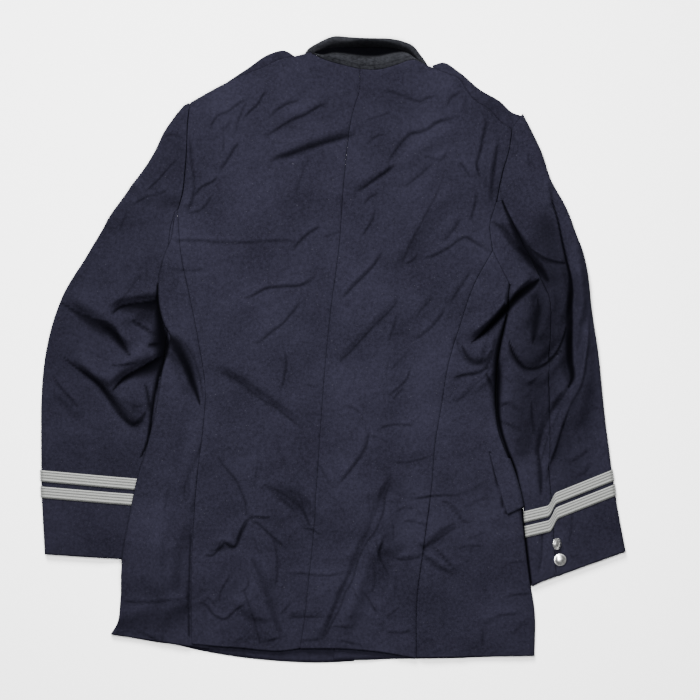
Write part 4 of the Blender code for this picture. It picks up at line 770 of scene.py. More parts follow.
@dataclass(frozen=True)
class Lay:
    """How high each layer of the laid-out jacket lies, in millimetres over the surface."""

    loft: float = 2.6
    chest_lift: float = 2.4
    flap_lift: float = 2.5
    tuck_lift: float = 5.6
    tuck_braid: float = 2.9
    tuck_button: float = 1.6
    button_lift: float = 3.7
    vent_top: float = -262.0
    ripple: float = 0.35
    wrinkle: float = 0.6

    # Lowest and highest plan corner of each pocket flap.
    FLAPS = (((-209, -212), (-57, -146)), ((102, -222), (300, -140)))

    @staticmethod
    def box(x: Array, y: Array, low: tuple[float, float], high: tuple[float, float], height: float) -> Array:
        """Height over a rectangular piece, let down again past its margin."""
        past = np.maximum.reduce([low[0] - x, x - high[0], low[1] - y, y - high[1]])
        return height * ease(62.4, 26, past)

    def tucked(self, x: Array, y: Array) -> Array:
        """Height of the body's left edge over the tucked sleeve."""
        height = (self.tuck_lift + self.tuck_braid * ease(-95, -128, y)
                  + self.tuck_button * ease(-205, -232, y))
        inside = ease(46, 8, x - TUCKED.x_at(y))
        return height * inside * ease(-345, -300, y) * ease(230, 196, y)

    def left_under(self, x: Array, y: Array) -> Array:
        """Outer height of the body's under side on the left front."""
        height = self.chest_lift * ease(30, 66, y)
        for low, high in self.FLAPS:
            height = np.maximum(height, self.box(x, y, low, high, self.flap_lift))
        middle = LEFT_FRONT_EDGE.x_at(y) - 14
        buttons = self.button_lift * ease(62, 26, np.abs(x - middle)) * ease(-262, -236, y) * ease(104, 78, y)
        return np.maximum(np.maximum(height, buttons), self.tucked(x, y))

    def overlap(self, x: Array, y: Array) -> Array:
        """Extra height where the right front lies over the left one."""
        return (CLOTH + CLEAR) * ease(52, 16, x - LEFT_FRONT_EDGE.x_at(y)) * ease(190, 140, y)

    def right_under(self, x: Array, y: Array) -> Array:
        """Outer height of the body's under side on the right front."""
        return self.left_under(x, y) + self.overlap(x, y)

    def fronts_top(self, x: Array, y: Array) -> Array:
        """Height of the upper side of whatever lies under the back."""
        strip = self.overlap(x, y) * ease(-52, -16, x - RIGHT_FRONT_EDGE.x_at(y))
        return self.left_under(x, y) + strip + CLOTH

    def vent(self, y: Array) -> Array:
        """1 along the open vents, 0 above them."""
        return ease(self.vent_top + 72, self.vent_top + 42, y)

    def back_top(self, x: Array, y: Array) -> Array:
        """Outer height of the back, with its folds and creases."""
        shoulder = np.minimum(SHOULDERS[0].distance(x, y), SHOULDERS[1].distance(x, y))
        pad = 5.0 * ease(150, 40, shoulder)
        from_seam = np.minimum(np.abs(x - LEFT_SEAM.x_at(y)), np.abs(x - RIGHT_SEAM.x_at(y)))
        loft = self.loft + pad + 1.6 * self.vent(y) * ease(70, 30, from_seam)
        loft = loft * np.sqrt(ease(-3, 34, shoulder))
        folds = sum(fold.height(x, y) for fold in BODY_FOLDS) * ease(2, 30, shoulder)
        base = self.fronts_top(x, y) + CLEAR + np.maximum(loft + folds, CLEAR) + CLOTH
        creases = sum(crease.height(x, y) for crease in BODY_CREASES)
        fine = self.ripple * ripples(x, y) + self.wrinkle * wrinkles(x, y)
        return base + (creases + fine) * ease(-2, 14, shoulder)

    def side_top(self, side: Side, x: Array, y: Array) -> Array:
        """Outer height of a side body, which runs on under the back along its vent."""
        seam = LEFT_SEAM if side is Side.LEFT else RIGHT_SEAM
        past = (x - seam.x_at(y)) * side.value
        return self.back_top(x, y) - (CLOTH + 0.8) * self.vent(y) * ease(-8, -1.5, past)


def ripples(x: Array, y: Array) -> Array:
    """Return the soft unevenness of worn cloth, about -1 to 1, from a few fixed waves."""
    chance = np.random.default_rng(7)
    total = np.zeros(np.shape(x))
    for length in (95.0, 70.0, 52.0, 38.0, 27.0, 20.0):
        for _ in range(3):
            turn, phase = chance.uniform(0, 2 * math.pi, 2)
            bend = 0.5 * np.sin((x * math.sin(turn) - y * math.cos(turn)) / (1.7 * length) + 2 * phase)
            wave = (x * math.cos(turn) + y * math.sin(turn)) * 2 * math.pi / length + phase + 2 * bend
            total += (length / 95.0) ** 0.8 * np.sin(wave)
    return total / 3.0


def wrinkles(x: Array, y: Array) -> Array:
    """Return small sharp creases in patches, 0 to about 2, most of them rising to the right."""
    chance = np.random.default_rng(11)
    total = np.zeros(np.shape(x))
    for turn, length in ((24, 36), (34, 23), (46, 30), (58, 21), (66, 34), (14, 26), (-38, 32), (84, 27), (40, 15)):
        run = math.radians(turn + chance.uniform(-6, 6))
        phase = chance.uniform(0, 2 * math.pi, 6)
        along = (x * math.cos(run) + y * math.sin(run)) / length
        over = (y * math.cos(run) - x * math.sin(run)) / length
        bent = over + 0.30 * np.sin(along / 1.9 + phase[0]) + 0.12 * np.sin(along / 0.8 + phase[1])
        crest = 1 - np.abs(np.sin(math.pi * bent + phase[2]))
        spread = (np.sin(along / 0.85 + 1.2 * np.sin(over / 1.3 + phase[3]) + phase[4])
                  * np.sin(over / 0.75 + 1.1 * np.sin(along / 1.7 + phase[5]) + phase[0]))
        total += length / 30 * ease(0.1, 0.95, spread) * crest**2
    return total


LEFT_SEAM, RIGHT_SEAM = Line(LEFT_SIDE), Line(RIGHT_SIDE)
LEFT_FRONT_EDGE, RIGHT_FRONT_EDGE = Line(LEFT_OPENING), Line(RIGHT_OPENING)
SHOULDERS = (Line(LEFT_SHOULDER), Line(RIGHT_SHOULDER))


def seam_spaced(count: int, width: float) -> Array:
    """Return shares across a panel that are close together at both seams.

    Args:
        count: Number of even steps between the seams.
        width: The panel's width in millimetres.

    Returns:
        Rising shares from 0 to 1.
    """
    close = np.array([0.0, 0.8, 1.7, 2.8, 4.2]) / width
    inner = np.linspace(6.0 / width, 1 - 6.0 / width, count)
    return np.concatenate((close, inner, 1 - close[::-1]))


def groove(plan: Array, depth: float = 0.7, reach: float = 1.2) -> Array:
    """Return how far a panel dips towards the seams at its first and last columns.

    Args:
        plan: Grid of plan points.
        depth: Depth at the seam.
        reach: How far from the seam the dip goes.

    Returns:
        The dip at each point, with the soft ridge of the seam allowance beside it.
    """
    dip = np.zeros(plan.shape[:2])
    for end in (0, -1):
        away = np.linalg.norm(plan - plan[:, end][:, None], axis=2)
        dip += depth * np.exp(-(away / reach) ** 2) - 0.3 * np.exp(-((away - 7.0) / 4.5) ** 2)
    return dip


def patch(bottom: Array, top: Array, left: Array, right: Array, across: Array, up: Array) -> Array:
    """Fill four lines with a grid of plan points.

    Args:
        bottom: Points along the bottom, one for each column.
        top: Points along the top.
        left: Points along the left, one for each row.
        right: Points along the right.
        across: Share of the width at each column.
        up: Share of the height at each row.

    Returns:
        Grid of plan points, row by row from the bottom.
    """
    left, right, bottom, top = left.copy(), right.copy(), bottom.copy(), top.copy()
    bottom[0], bottom[-1], top[0], top[-1] = left[0], right[0], left[-1], right[-1]
    v, u = up[:, None, None], across[None, :, None]
    along = (1 - v) * bottom[None] + v * top[None]
    sides = (1 - u) * left[:, None] + u * right[:, None]
    corners = ((1 - u) * (1 - v) * bottom[0] + u * (1 - v) * bottom[-1]
               + (1 - u) * v * top[0] + u * v * top[-1])
    return along + sides - corners


def between(start: Array, end: Array, count: int) -> Array:
    """Return a plan grid from one line of points to another, with a count of columns."""
    return start[:, None] + np.linspace(0, 1, count)[None, :, None] * (end - start)[:, None]


@dataclass(frozen=True)
class Wrap:
    """Shares of a cloth that runs from its seam on top round a folded edge to its seam below."""

    on_top: int
    round_edge: int
    below: int

    # How far from the edge the loft is read, and the most of the width that the round of it takes.
    PROBE = 4.0
    ROUNDEST = 0.42

    @property
    def upper(self) -> int:
        """Number of even columns from the seam on top to just below the edge."""
        return self.on_top + self.round_edge + 2

    def skin(self, seam_top: Array, edge: Array, seam_under: Array, top: HeightField,
             under: HeightField, out: float = 0.0, tail: Array | None = None,
             opened: Array | None = None, lip: float = 0.0,
             shift: Callable[[Array, bool], Array] | None = None) -> Array:
        """Make the points of the cloth's outer skin.

        Args:
            seam_top: Plan points of the seam on top, one for each row.
            edge: Plan points of the folded edge.
            seam_under: Plan points of the seam below.
            top: Outer height on top.
            under: Outer height below.
            out: How far the skin stands off these heights.
            tail: For each row, how far from the seam on top the columns lie before the even ones.
            opened: Rows whose edge isn't folded, where both sides reach the edge.
            lip: How far the foot of the fold reaches out past the edge.
            shift: Plan shift from the share of the way to the seam, and whether it is on top.

        Returns:
            Rows of columns of points in millimetres.
        """
        def place(share: Array, seam: Array, on_top: bool) -> Array:
            """Return plan points at shares of the way from the edge to a seam."""
            flat = edge[:, None] + share[..., None] * (seam - edge)[:, None]
            return flat if shift is None else flat + shift(share, on_top)

        def height(surface: HeightField, flat: Array) -> Array:
            """Return a surface's height at plan points."""
            return surface(flat[..., 0], flat[..., 1])

        wide = np.linalg.norm(seam_top - edge, axis=1)[:, None]
        wide_under = np.linalg.norm(seam_under - edge, axis=1)[:, None]
        probe = place(np.minimum(self.PROBE / wide, 0.4), seam_top, True)
        half = (height(top, probe) - height(under, probe)) / 2
        share_top, share_under = (np.minimum(half / across, self.ROUNDEST) for across in (wide, wide_under))
        if opened is not None:
            share_top = np.where(opened[:, None], 0.0, share_top)
            share_under = np.where(opened[:, None], 0.0, share_under)
        high = height(top, place(share_top, seam_top, True))
        low = height(under, place(share_under, seam_under, False))
        middle, half = (high + low) / 2, (high - low) / 2

        steps = np.linspace(0, 1, self.on_top)[None, :]
        first = np.ones_like(wide) if tail is None else 1 - tail[:, -1:] / wide
        share = first + steps * (share_top - first)
        if tail is not None:
            share = np.hstack((np.ones_like(wide), 1 - tail[:, :-1] / wide, share))
        flat = place(share, seam_top, True)
        columns = [np.dstack((flat, height(top, flat) + out))]
        for angle in np.linspace(0, math.pi, self.round_edge + 2)[1:-1]:
            above = angle <= math.pi / 2 + 1e-6
            share_arc, seam = (share_top, seam_top) if above else (share_under, seam_under)
            reach = share_arc * (1 - (half + out) / half * math.sin(angle))
            if angle > 2.2 and lip:
                foot = -lip * (0.6 if angle < 2.6 else 1.0) / wide_under
                reach = np.where(share_arc > 0, foot, reach)
            flat = place(reach, seam, above)
            columns.append(np.dstack((flat, middle + (half + out) * math.cos(angle))))
        share = share_under + np.linspace(0, 1, self.below)[None, :] * (1 - share_under)
        flat = place(share, seam_under, False)
        columns.append(np.dstack((flat, height(under, flat) - out)))
        return np.concatenate(columns, axis=1)


@dataclass
class Studio:
    """Plain pale floor, soft studio light and a camera straight above, framed as the photograph."""

    camera_height: float = 3.0
    sensor: float = 36.0
    key_power: float = 480.0
    fill_power: float = 42.0
    sky: float = 0.17
    framed_height: float = 0.008

    def floor(self) -> None:
        """Lay the pale floor under the jacket."""
        mesh_data = bmesh.new()
        bmesh.ops.create_grid(mesh_data, x_segments=1, y_segments=1, size=4.0)
        mesh = bpy.data.meshes.new("floor")
        mesh_data.to_mesh(mesh)
        mesh_data.free()
        finish = bpy.data.materials.new("studio_floor")
        finish.use_nodes = True
        shader = finish.node_tree.nodes["Principled BSDF"]
        shader.inputs["Base Color"].default_value = (0.93, 0.93, 0.93, 1.0)
        shader.inputs["Roughness"].default_value = 0.9
        mesh.materials.append(finish)
        ground = put("floor", mesh)
        ground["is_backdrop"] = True

    def light(self, name: str, place: tuple[float, float, float], size: float, power: float) -> None:
        """Hang one square soft light that faces the jacket.

        Args:
            name: Name of the light.
            place: Its place in metres.
            size: Side of the square.
            power: Its power in watts.
        """
        lamp = bpy.data.lights.new(name, "AREA")
        lamp.shape = "SQUARE"
        lamp.size, lamp.energy = size, power
        holder = put(name, lamp)
        holder.location = place
        away = math.hypot(place[0], place[1])
        holder.rotation_euler = (0.0, math.atan2(away, place[2]), math.atan2(place[1], place[0]))

    def world(self) -> None:
        """Fill the studio with even white light."""
        world = bpy.data.worlds.new("studio")
        bpy.context.scene.world = world
        world.use_nodes = True
        sky = world.node_tree.nodes["Background"].inputs
        sky["Color"].default_value = (1.0, 1.0, 1.0, 1.0)
        sky["Strength"].default_value = self.sky

    def camera(self) -> None:
        """Look straight down on the middle of the photograph's frame."""
        eye = bpy.data.cameras.new("camera")
        frame_width = FRAME_PIXELS * MM_PER_PIXEL * MM
        eye.sensor_width = self.sensor
        eye.lens = self.sensor * (self.camera_height - self.framed_height) / frame_width
        eye.clip_end = 20.0
        holder = put("camera", eye)
        middle = FRAME_PIXELS / 2
        holder.location = (((middle - PIXEL_ORIGIN[0]) * MM_PER_PIXEL + PLAN_SHIFT[0]) * MM,
                           ((PIXEL_ORIGIN[1] - middle) * MM_PER_PIXEL + PLAN_SHIFT[1]) * MM,
                           self.camera_height)
        bpy.context.scene.camera = holder

    def build(self) -> None:
        """Set up the whole studio."""
        self.floor()
        self.light("key", (-0.7, 2.4, 2.3), 1.4, self.key_power)
        self.light("fill", (0.0, -0.02, 1.25), 0.5, self.fill_power)
        self.world()
        self.camera()
        LOG.info("studio ready")


def put(name: str, data: bpy.types.ID) -> bpy.types.Object:
    """Put a mesh, light or camera into the scene and return its object."""
    made = bpy.data.objects.new(name, data)
    bpy.context.scene.collection.objects.link(made)
    return made


class Nodes:
    """Writes the nodes of a material or a group in short steps."""

    def __init__(self, tree: bpy.types.NodeTree) -> None:
        """Work on a node tree."""
        self.tree = tree

    def add(self, kind: str, **settings: object) -> bpy.types.Node:
        """Add a node and set its properties.

        Args:
            kind: The node's type without its ShaderNode prefix.
            **settings: Properties of the node, by name.

        Returns:
            The new node.
        """
        node = self.tree.nodes.new("ShaderNode" + kind)
        for name, value in settings.items():
            setattr(node, name, value)
        return node

    def feed(self, target: bpy.types.NodeSocket, source: object) -> None:
        """Join a socket to another, or set its value."""
        if isinstance(source, bpy.types.NodeSocket):
            self.tree.links.new(source, target)
        else:
            target.default_value = source

    def math(self, operation: str, first: object, second: object = 0.0, third: object = 0.0,
             clamp: bool = False) -> bpy.types.NodeSocket:
        """Return the result of one sum of up to three values or sockets."""
        node = self.add("Math", operation=operation, use_clamp=clamp)
        for socket, source in zip(node.inputs, (first, second, third)):
            self.feed(socket, source)
        return node.outputs[0]

    def noise(self, vector: object, scale: float, detail: float = 2.0,
              roughness: float = 0.5) -> bpy.types.NodeSocket:
        """Return the value of a noise of a scale."""
        node = self.add("TexNoise")
        self.feed(node.inputs["Vector"], vector)
        node.inputs["Scale"].default_value = scale
        node.inputs["Detail"].default_value = detail
        node.inputs["Roughness"].default_value = roughness
        return node.outputs["Fac"]

    def spread(self, value: object, low: float, high: float, start: float = 0.0,
               end: float = 1.0) -> bpy.types.NodeSocket:
        """Return a value spread from one range to another, held at its ends."""
        node = self.add("MapRange", clamp=True)
        self.feed(node.inputs["Value"], value)
        for name, number in (("From Min", low), ("From Max", high), ("To Min", start), ("To Max", end)):
            node.inputs[name].default_value = number
        return node.outputs["Result"]

    def mix(self, share: object, first: object, second: object) -> bpy.types.NodeSocket:
        """Return a colour between two."""
        node = self.add("Mix", data_type="RGBA")
        self.feed(node.inputs["Factor"], share)
        self.feed(node.inputs[6], first)
        self.feed(node.inputs[7], second)
        return node.outputs[2]

    def bump(self, shader: bpy.types.Node, height: object, strength: float, distance: float) -> None:
        """Roughen a shader's surface by a height, with a strength and a distance in metres."""
        node = self.add("Bump")
        node.inputs["Strength"].default_value = strength
        node.inputs["Distance"].default_value = distance
        self.feed(node.inputs["Height"], height)
        self.feed(shader.inputs["Normal"], node.outputs["Normal"])


def cloth_group() -> bpy.types.ShaderNodeTree:
    """Make the shared effect of woven cloth: threads, slubs, lint and uneven dye, with painted shade darkened into
    the colour in deep folds and dark seam lines on the collar.

    Returns:
        The group, with inputs Thread (threads per metre), Turn (degrees), Dark, Light, Fluff, Lint
        and Hollow (1 where painted shade or a seam line turns the colour black), and outputs Color, Height and Rough.
    """
    if "woven_cloth" in bpy.data.node_groups:
        return bpy.data.node_groups["woven_cloth"]
    group = bpy.data.node_groups.new("woven_cloth", "ShaderNodeTree")
    face = group.interface
    for name, kind in (("Vector", "NodeSocketVector"), ("Place", "NodeSocketVector"),
                       ("Thread", "NodeSocketFloat"), ("Turn", "NodeSocketFloat"),
                       ("Dark", "NodeSocketColor"), ("Light", "NodeSocketColor"),
                       ("Fluff", "NodeSocketFloat"), ("Lint", "NodeSocketFloat"),
                       ("Hollow", "NodeSocketFloat")):
        face.new_socket(name=name, in_out="INPUT", socket_type=kind)
    for name, kind in (("Color", "NodeSocketColor"), ("Height", "NodeSocketFloat"),
                       ("Rough", "NodeSocketFloat")):
        face.new_socket(name=name, in_out="OUTPUT", socket_type=kind)
    build = Nodes(group)
    given = group.nodes.new("NodeGroupInput").outputs
    result = group.nodes.new("NodeGroupOutput").inputs

    turned = build.add("VectorRotate", rotation_type="Z_AXIS")
    build.feed(turned.inputs["Vector"], given["Vector"])
    build.feed(turned.inputs["Angle"], build.math("RADIANS", given["Turn"]))
    parts = build.add("SeparateXYZ")
    build.feed(parts.inputs[0], turned.outputs[0])
    tau = 2 * math.pi
    wave = build.math("MULTIPLY", given["Thread"], tau)
    rib = build.math("SINE", build.math("MULTIPLY", parts.outputs["X"], wave))
    cross = build.math("SINE", build.math("MULTIPLY", parts.outputs["Y"], build.math("MULTIPLY", wave, 0.62)))
    twill = build.math("MULTIPLY_ADD", rib, 0.35, build.math("MULTIPLY_ADD", cross, 0.15, 0.5))

    fluff = build.noise(given["Place"], 900.0, 3.0, 0.6)
    slub = build.noise(given["Place"], 260.0, 2.0, 0.6)
    cloud = build.noise(given["Place"], 11.0, 3.0, 0.55)
    tone = build.math("MULTIPLY_ADD", fluff, 0.45, build.math("MULTIPLY_ADD", slub, 0.45,
                      build.math("MULTIPLY", cloud, 0.45)))
    tone = build.math("MULTIPLY_ADD", twill, 0.10, tone)
    tone = build.spread(tone, 0.54, 0.91)
    dyed = build.mix(tone, given["Dark"], given["Light"])
    specks = build.noise(given["Place"], 640.0, 1.0, 0.5)
    caught = build.math("MULTIPLY", build.spread(specks, 0.74, 0.84), given["Lint"])
    pale = build.mix(caught, dyed, (0.13, 0.13, 0.15, 1.0))
    # Painted shade: the colour is mixed towards black by the hollow attribute, deep in folds and along the collar's
    # seam lines.
    build.feed(result["Color"], build.mix(given["Hollow"], pale, (0.0003, 0.0003, 0.0006, 1.0)))
    height = build.math("MULTIPLY_ADD", fluff, given["Fluff"], build.math("MULTIPLY", twill, 0.35))
    build.feed(result["Height"], height)
    build.feed(result["Rough"], build.spread(slub, 0.3, 0.7, 0.78, 0.95))
    return group


@dataclass(frozen=True)
class Finish:
    """A look that one material stands for."""

    name: str

    def material(self) -> bpy.types.Material:
        """Make the finish's material once and return it."""
        if self.name in bpy.data.materials:
            return bpy.data.materials[self.name]
        made = bpy.data.materials.new(self.name)
        made.use_nodes = True
        self.paint(Nodes(made.node_tree), made.node_tree.nodes["Principled BSDF"])
        return made


@dataclass(frozen=True)
class ClothFinish(Finish):
    """A woven or felted cloth, dyed between a dark and a light tone."""

    dark: tuple[float, float, float]
    light: tuple[float, float, float]
    thread: float = 1100.0
    turn: float = 38.0
    fluff: float = 0.9
    lint: float = 0.22
    sheen: float = 0.004
    sheen_tint: tuple[float, float, float] = (0.55, 0.58, 0.75)
    bump: float = 0.35

    def paint(self, build: Nodes, shader: bpy.types.Node) -> None:
        """Write the finish's nodes round its shader."""
        weave = build.add("Group", node_tree=cloth_group())
        build.feed(weave.inputs["Vector"], build.add("UVMap", uv_map="cloth").outputs["UV"])
        build.feed(weave.inputs["Place"], build.add("TexCoord").outputs["Object"])
        for name, value in (("Thread", self.thread), ("Turn", self.turn), ("Dark", (*self.dark, 1.0)),
                            ("Light", (*self.light, 1.0)), ("Fluff", self.fluff), ("Lint", self.lint)):
            weave.inputs[name].default_value = value
        # Painted shade and seam lines reach the weave's colour through the mesh attribute.
        build.feed(weave.inputs["Hollow"], build.add("Attribute", attribute_name="hollow").outputs["Fac"])
        build.bump(shader, weave.outputs["Height"], self.bump, 0.0004)
        build.feed(shader.inputs["Base Color"], weave.outputs["Color"])
        build.feed(shader.inputs["Roughness"], weave.outputs["Rough"])
        shader.inputs["Sheen Weight"].default_value = self.sheen
        shader.inputs["Sheen Roughness"].default_value = 0.45
        shader.inputs["Sheen Tint"].default_value = (*self.sheen_tint, 1.0)
        shader.inputs["Specular IOR Level"].default_value = 0.008


@dataclass(frozen=True)
class BraidFinish(Finish):
    """Silver-grey woven braid with fine ribs along its length."""

    name: str = "silver_braid"
    ribs: float = 4.0
    dark: tuple[float, float, float] = (0.030, 0.031, 0.030)
    light: tuple[float, float, float] = (0.140, 0.143, 0.136)

    def paint(self, build: Nodes, shader: bpy.types.Node) -> None:
        """Write the finish's nodes round its shader."""
        parts = build.add("SeparateXYZ")
        build.feed(parts.inputs[0], build.add("UVMap", uv_map="cloth").outputs["UV"])
        place = build.add("TexCoord").outputs["Object"]
        per_metre = 2 * math.pi * self.ribs / (BRAID_WIDTH * MM)
        wave = build.math("SINE", build.math("MULTIPLY", parts.outputs["Y"], per_metre))
        rib = build.math("POWER", build.math("MULTIPLY_ADD", wave, 0.5, 0.5), 0.6)
        stitch = build.math("SINE", build.math("MULTIPLY", parts.outputs["X"], 2 * math.pi / 0.0011))
        grain = build.noise(place, 700.0, 2.0, 0.6)
        tone = build.math("MULTIPLY_ADD", stitch, 0.06, build.math("MULTIPLY_ADD", grain, 0.5, -0.2))
        # Painted highlight and shade: the tone is lighter on the ribs' crests and darker in the grooves between them,
        # over the same ribs in the bump.
        tone = build.math("MULTIPLY_ADD", rib, 0.75, tone, clamp=True)
        build.feed(shader.inputs["Base Color"],
                   build.mix(tone, (*self.dark, 1.0), (*self.light, 1.0)))
        build.feed(shader.inputs["Roughness"], build.spread(grain, 0.3, 0.7, 0.42, 0.62))
        build.bump(shader, build.math("MULTIPLY_ADD", stitch, 0.15, rib), 0.6, 0.0005)
        shader.inputs["Metallic"].default_value = 0.25


@dataclass(frozen=True)
class SilverFinish(Finish):
    """Silver-plated metal, lightly worn, darker and lighter in random patches."""

    name: str = "silver_button"

    def paint(self, build: Nodes, shader: bpy.types.Node) -> None:
        """Write the finish's nodes round its shader."""
        place = build.add("TexCoord").outputs["Object"]
        wear = build.noise(place, 420.0, 3.0, 0.6)
        build.feed(shader.inputs["Base Color"],
                   build.mix(build.spread(wear, 0.35, 0.65), (0.30, 0.30, 0.30, 1.0), (0.78, 0.78, 0.77, 1.0)))
        build.feed(shader.inputs["Roughness"], build.spread(wear, 0.3, 0.7, 0.42, 0.22))
        build.bump(shader, wear, 0.25, 0.0003)
        shader.inputs["Metallic"].default_value = 1.0


WOOL = ClothFinish("navy_wool", (0.0036, 0.0034, 0.0059), (0.0098, 0.0094, 0.0158))
MELTON = ClothFinish("charcoal_melton", (0.0016, 0.0017, 0.0022), (0.0160, 0.0165, 0.0195), turn=0.0, fluff=1.4,
                     lint=0.3, sheen=0.02, sheen_tint=(0.7, 0.72, 0.74), bump=0.6)
SHOW_BRAID = BraidFinish()
SILVER = SilverFinish()
FINISH = {Slot.WOOL: WOOL, Slot.MELTON: MELTON, Slot.BRAID: SHOW_BRAID, Slot.BUTTONS: SILVER}


@dataclass
class Piece:
    """One finished piece of cloth, made from a grid of points and given its wall.

    skin holds rows of columns of points in millimetres of the plan. outward is the way that the first
    column's outer face looks, 1 up and -1 down. keep marks the cells that have cloth, ring joins the
    last column to the first, and hollow is the painted shade, and on the collar the dark seam lines, from 0 to 1.
    """

    name: str
    skin: Array
    slot: Slot = Slot.WOOL
    wall: float = 1.6
    outward: int = 1
    keep: Array | None = None
    ring: bool = False
    hollow: Array | None = None
    made: bpy.types.Object | None = field(default=None, repr=False)

    # Greatest flat width of a sheet, in mean widths.
    WIDEST = 2.5

    def grid(self) -> bmesh.types.BMesh:
        """Make the flat grid, with the cells that have no cloth taken out."""
        rows, columns = self.skin.shape[:2]
        mesh_data = bmesh.new()
        mesh_data.loops.layers.uv.new("cloth")
        bmesh.ops.create_grid(mesh_data, x_segments=columns - 1, y_segments=rows - 1, size=0.5)
        if self.keep is not None:
            spare = []
            for face in mesh_data.faces:
                middle = face.calc_center_median()
                cell = (int((middle.y + 0.5) * (rows - 1)), int((middle.x + 0.5) * (columns - 1)))
                if not self.keep[cell]:
                    spare.append(face)
            bmesh.ops.delete(mesh_data, geom=spare, context="FACES")
        return mesh_data

    def shape(self, mesh: bpy.types.Mesh) -> None:
        """Move the grid's points onto the skin and lay the weave along it."""
        rows, columns = self.skin.shape[:2]
        flat = np.empty(len(mesh.vertices) * 3, dtype=np.float32)
        mesh.vertices.foreach_get("co", flat)
        flat = flat.reshape(-1, 3)
        column = np.rint((flat[:, 0] + 0.5) * (columns - 1)).astype(int)
        row = np.rint((flat[:, 1] + 0.5) * (rows - 1)).astype(int)
        shifted = self.skin + (PLAN_SHIFT[0], PLAN_SHIFT[1], 0.0)
        mesh.vertices.foreach_set("co", (shifted[row, column] * MM).astype(np.float32).ravel())

        across = np.linalg.norm(np.diff(self.skin, axis=1), axis=2)
        up = np.linalg.norm(np.diff(self.skin, axis=0), axis=2)
        u = np.concatenate((np.zeros((rows, 1)), np.cumsum(across, axis=1)), axis=1)
        v = np.concatenate((np.zeros((1, columns)), np.cumsum(up, axis=0)))
        if self.ring:
            u = np.repeat(u.mean(axis=0)[None], rows, axis=0)
            v = np.repeat(v.mean(axis=1)[:, None], columns, axis=1)
        corners = np.empty(len(mesh.loops), dtype=np.int32)
        mesh.loops.foreach_get("vertex_index", corners)
        places = np.column_stack((u[row, column], v[row, column]))[corners] * MM
        mesh.uv_layers["cloth"].data.foreach_set("uv", places.astype(np.float32).ravel())
        # The painted shade and the collar's seam lines go to the material as a point attribute.
        if self.hollow is not None:
            deep = mesh.attributes.new("hollow", "FLOAT", "POINT")
            deep.data.foreach_set("value", self.hollow[row, column].astype(np.float32))

    def build(self) -> bpy.types.Object:
        """Make the object, with its wall and finish."""
        mesh_data = self.grid()
        mesh = bpy.data.meshes.new(self.name)
        mesh_data.to_mesh(mesh)
        mesh_data.free()
        self.shape(mesh)
        mesh.update()
        across, up = self.skin[-1, 1] - self.skin[-1, 0], self.skin[-1, 0] - self.skin[-2, 0]
        if (across[0] * up[1] - across[1] * up[0]) * self.outward < 0:
            mesh.flip_normals()
        if self.ring:
            mesh_data = bmesh.new()
            mesh_data.from_mesh(mesh)
            bmesh.ops.remove_doubles(mesh_data, verts=mesh_data.verts, dist=1e-6)
            mesh_data.to_mesh(mesh)
            mesh_data.free()
        mesh.shade_smooth()
        mesh.materials.append(FINISH[self.slot].material())
        self.made = put(self.name, mesh)
        thick = self.made.modifiers.new("wall", "SOLIDIFY")
        thick.thickness = self.wall * MM
        thick.offset = -1.0
        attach(self.made, "root")
        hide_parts(self.name_in_frame())
        LOG.info("%s: %d faces", self.name, len(mesh.polygons))
        return self.made

    def name_in_frame(self) -> str:
        """The frame's node that this piece stands for."""
        return self.name.removesuffix("_cloth")

    def lay(self, rests_on: Sequence[str] = (), trims: Sequence[bpy.types.Object] = ()) -> None:
        """Args:
            rests_on: Names of what it lies on; not used.
            trims: Separate pieces sewn to it; not used.
        """
        across = np.linalg.norm(np.diff(self.skin, axis=1), axis=2).sum(axis=1)
        up = np.linalg.norm(np.diff(self.skin, axis=0), axis=2).sum(axis=0)
        list(rests_on)
        list(trims)


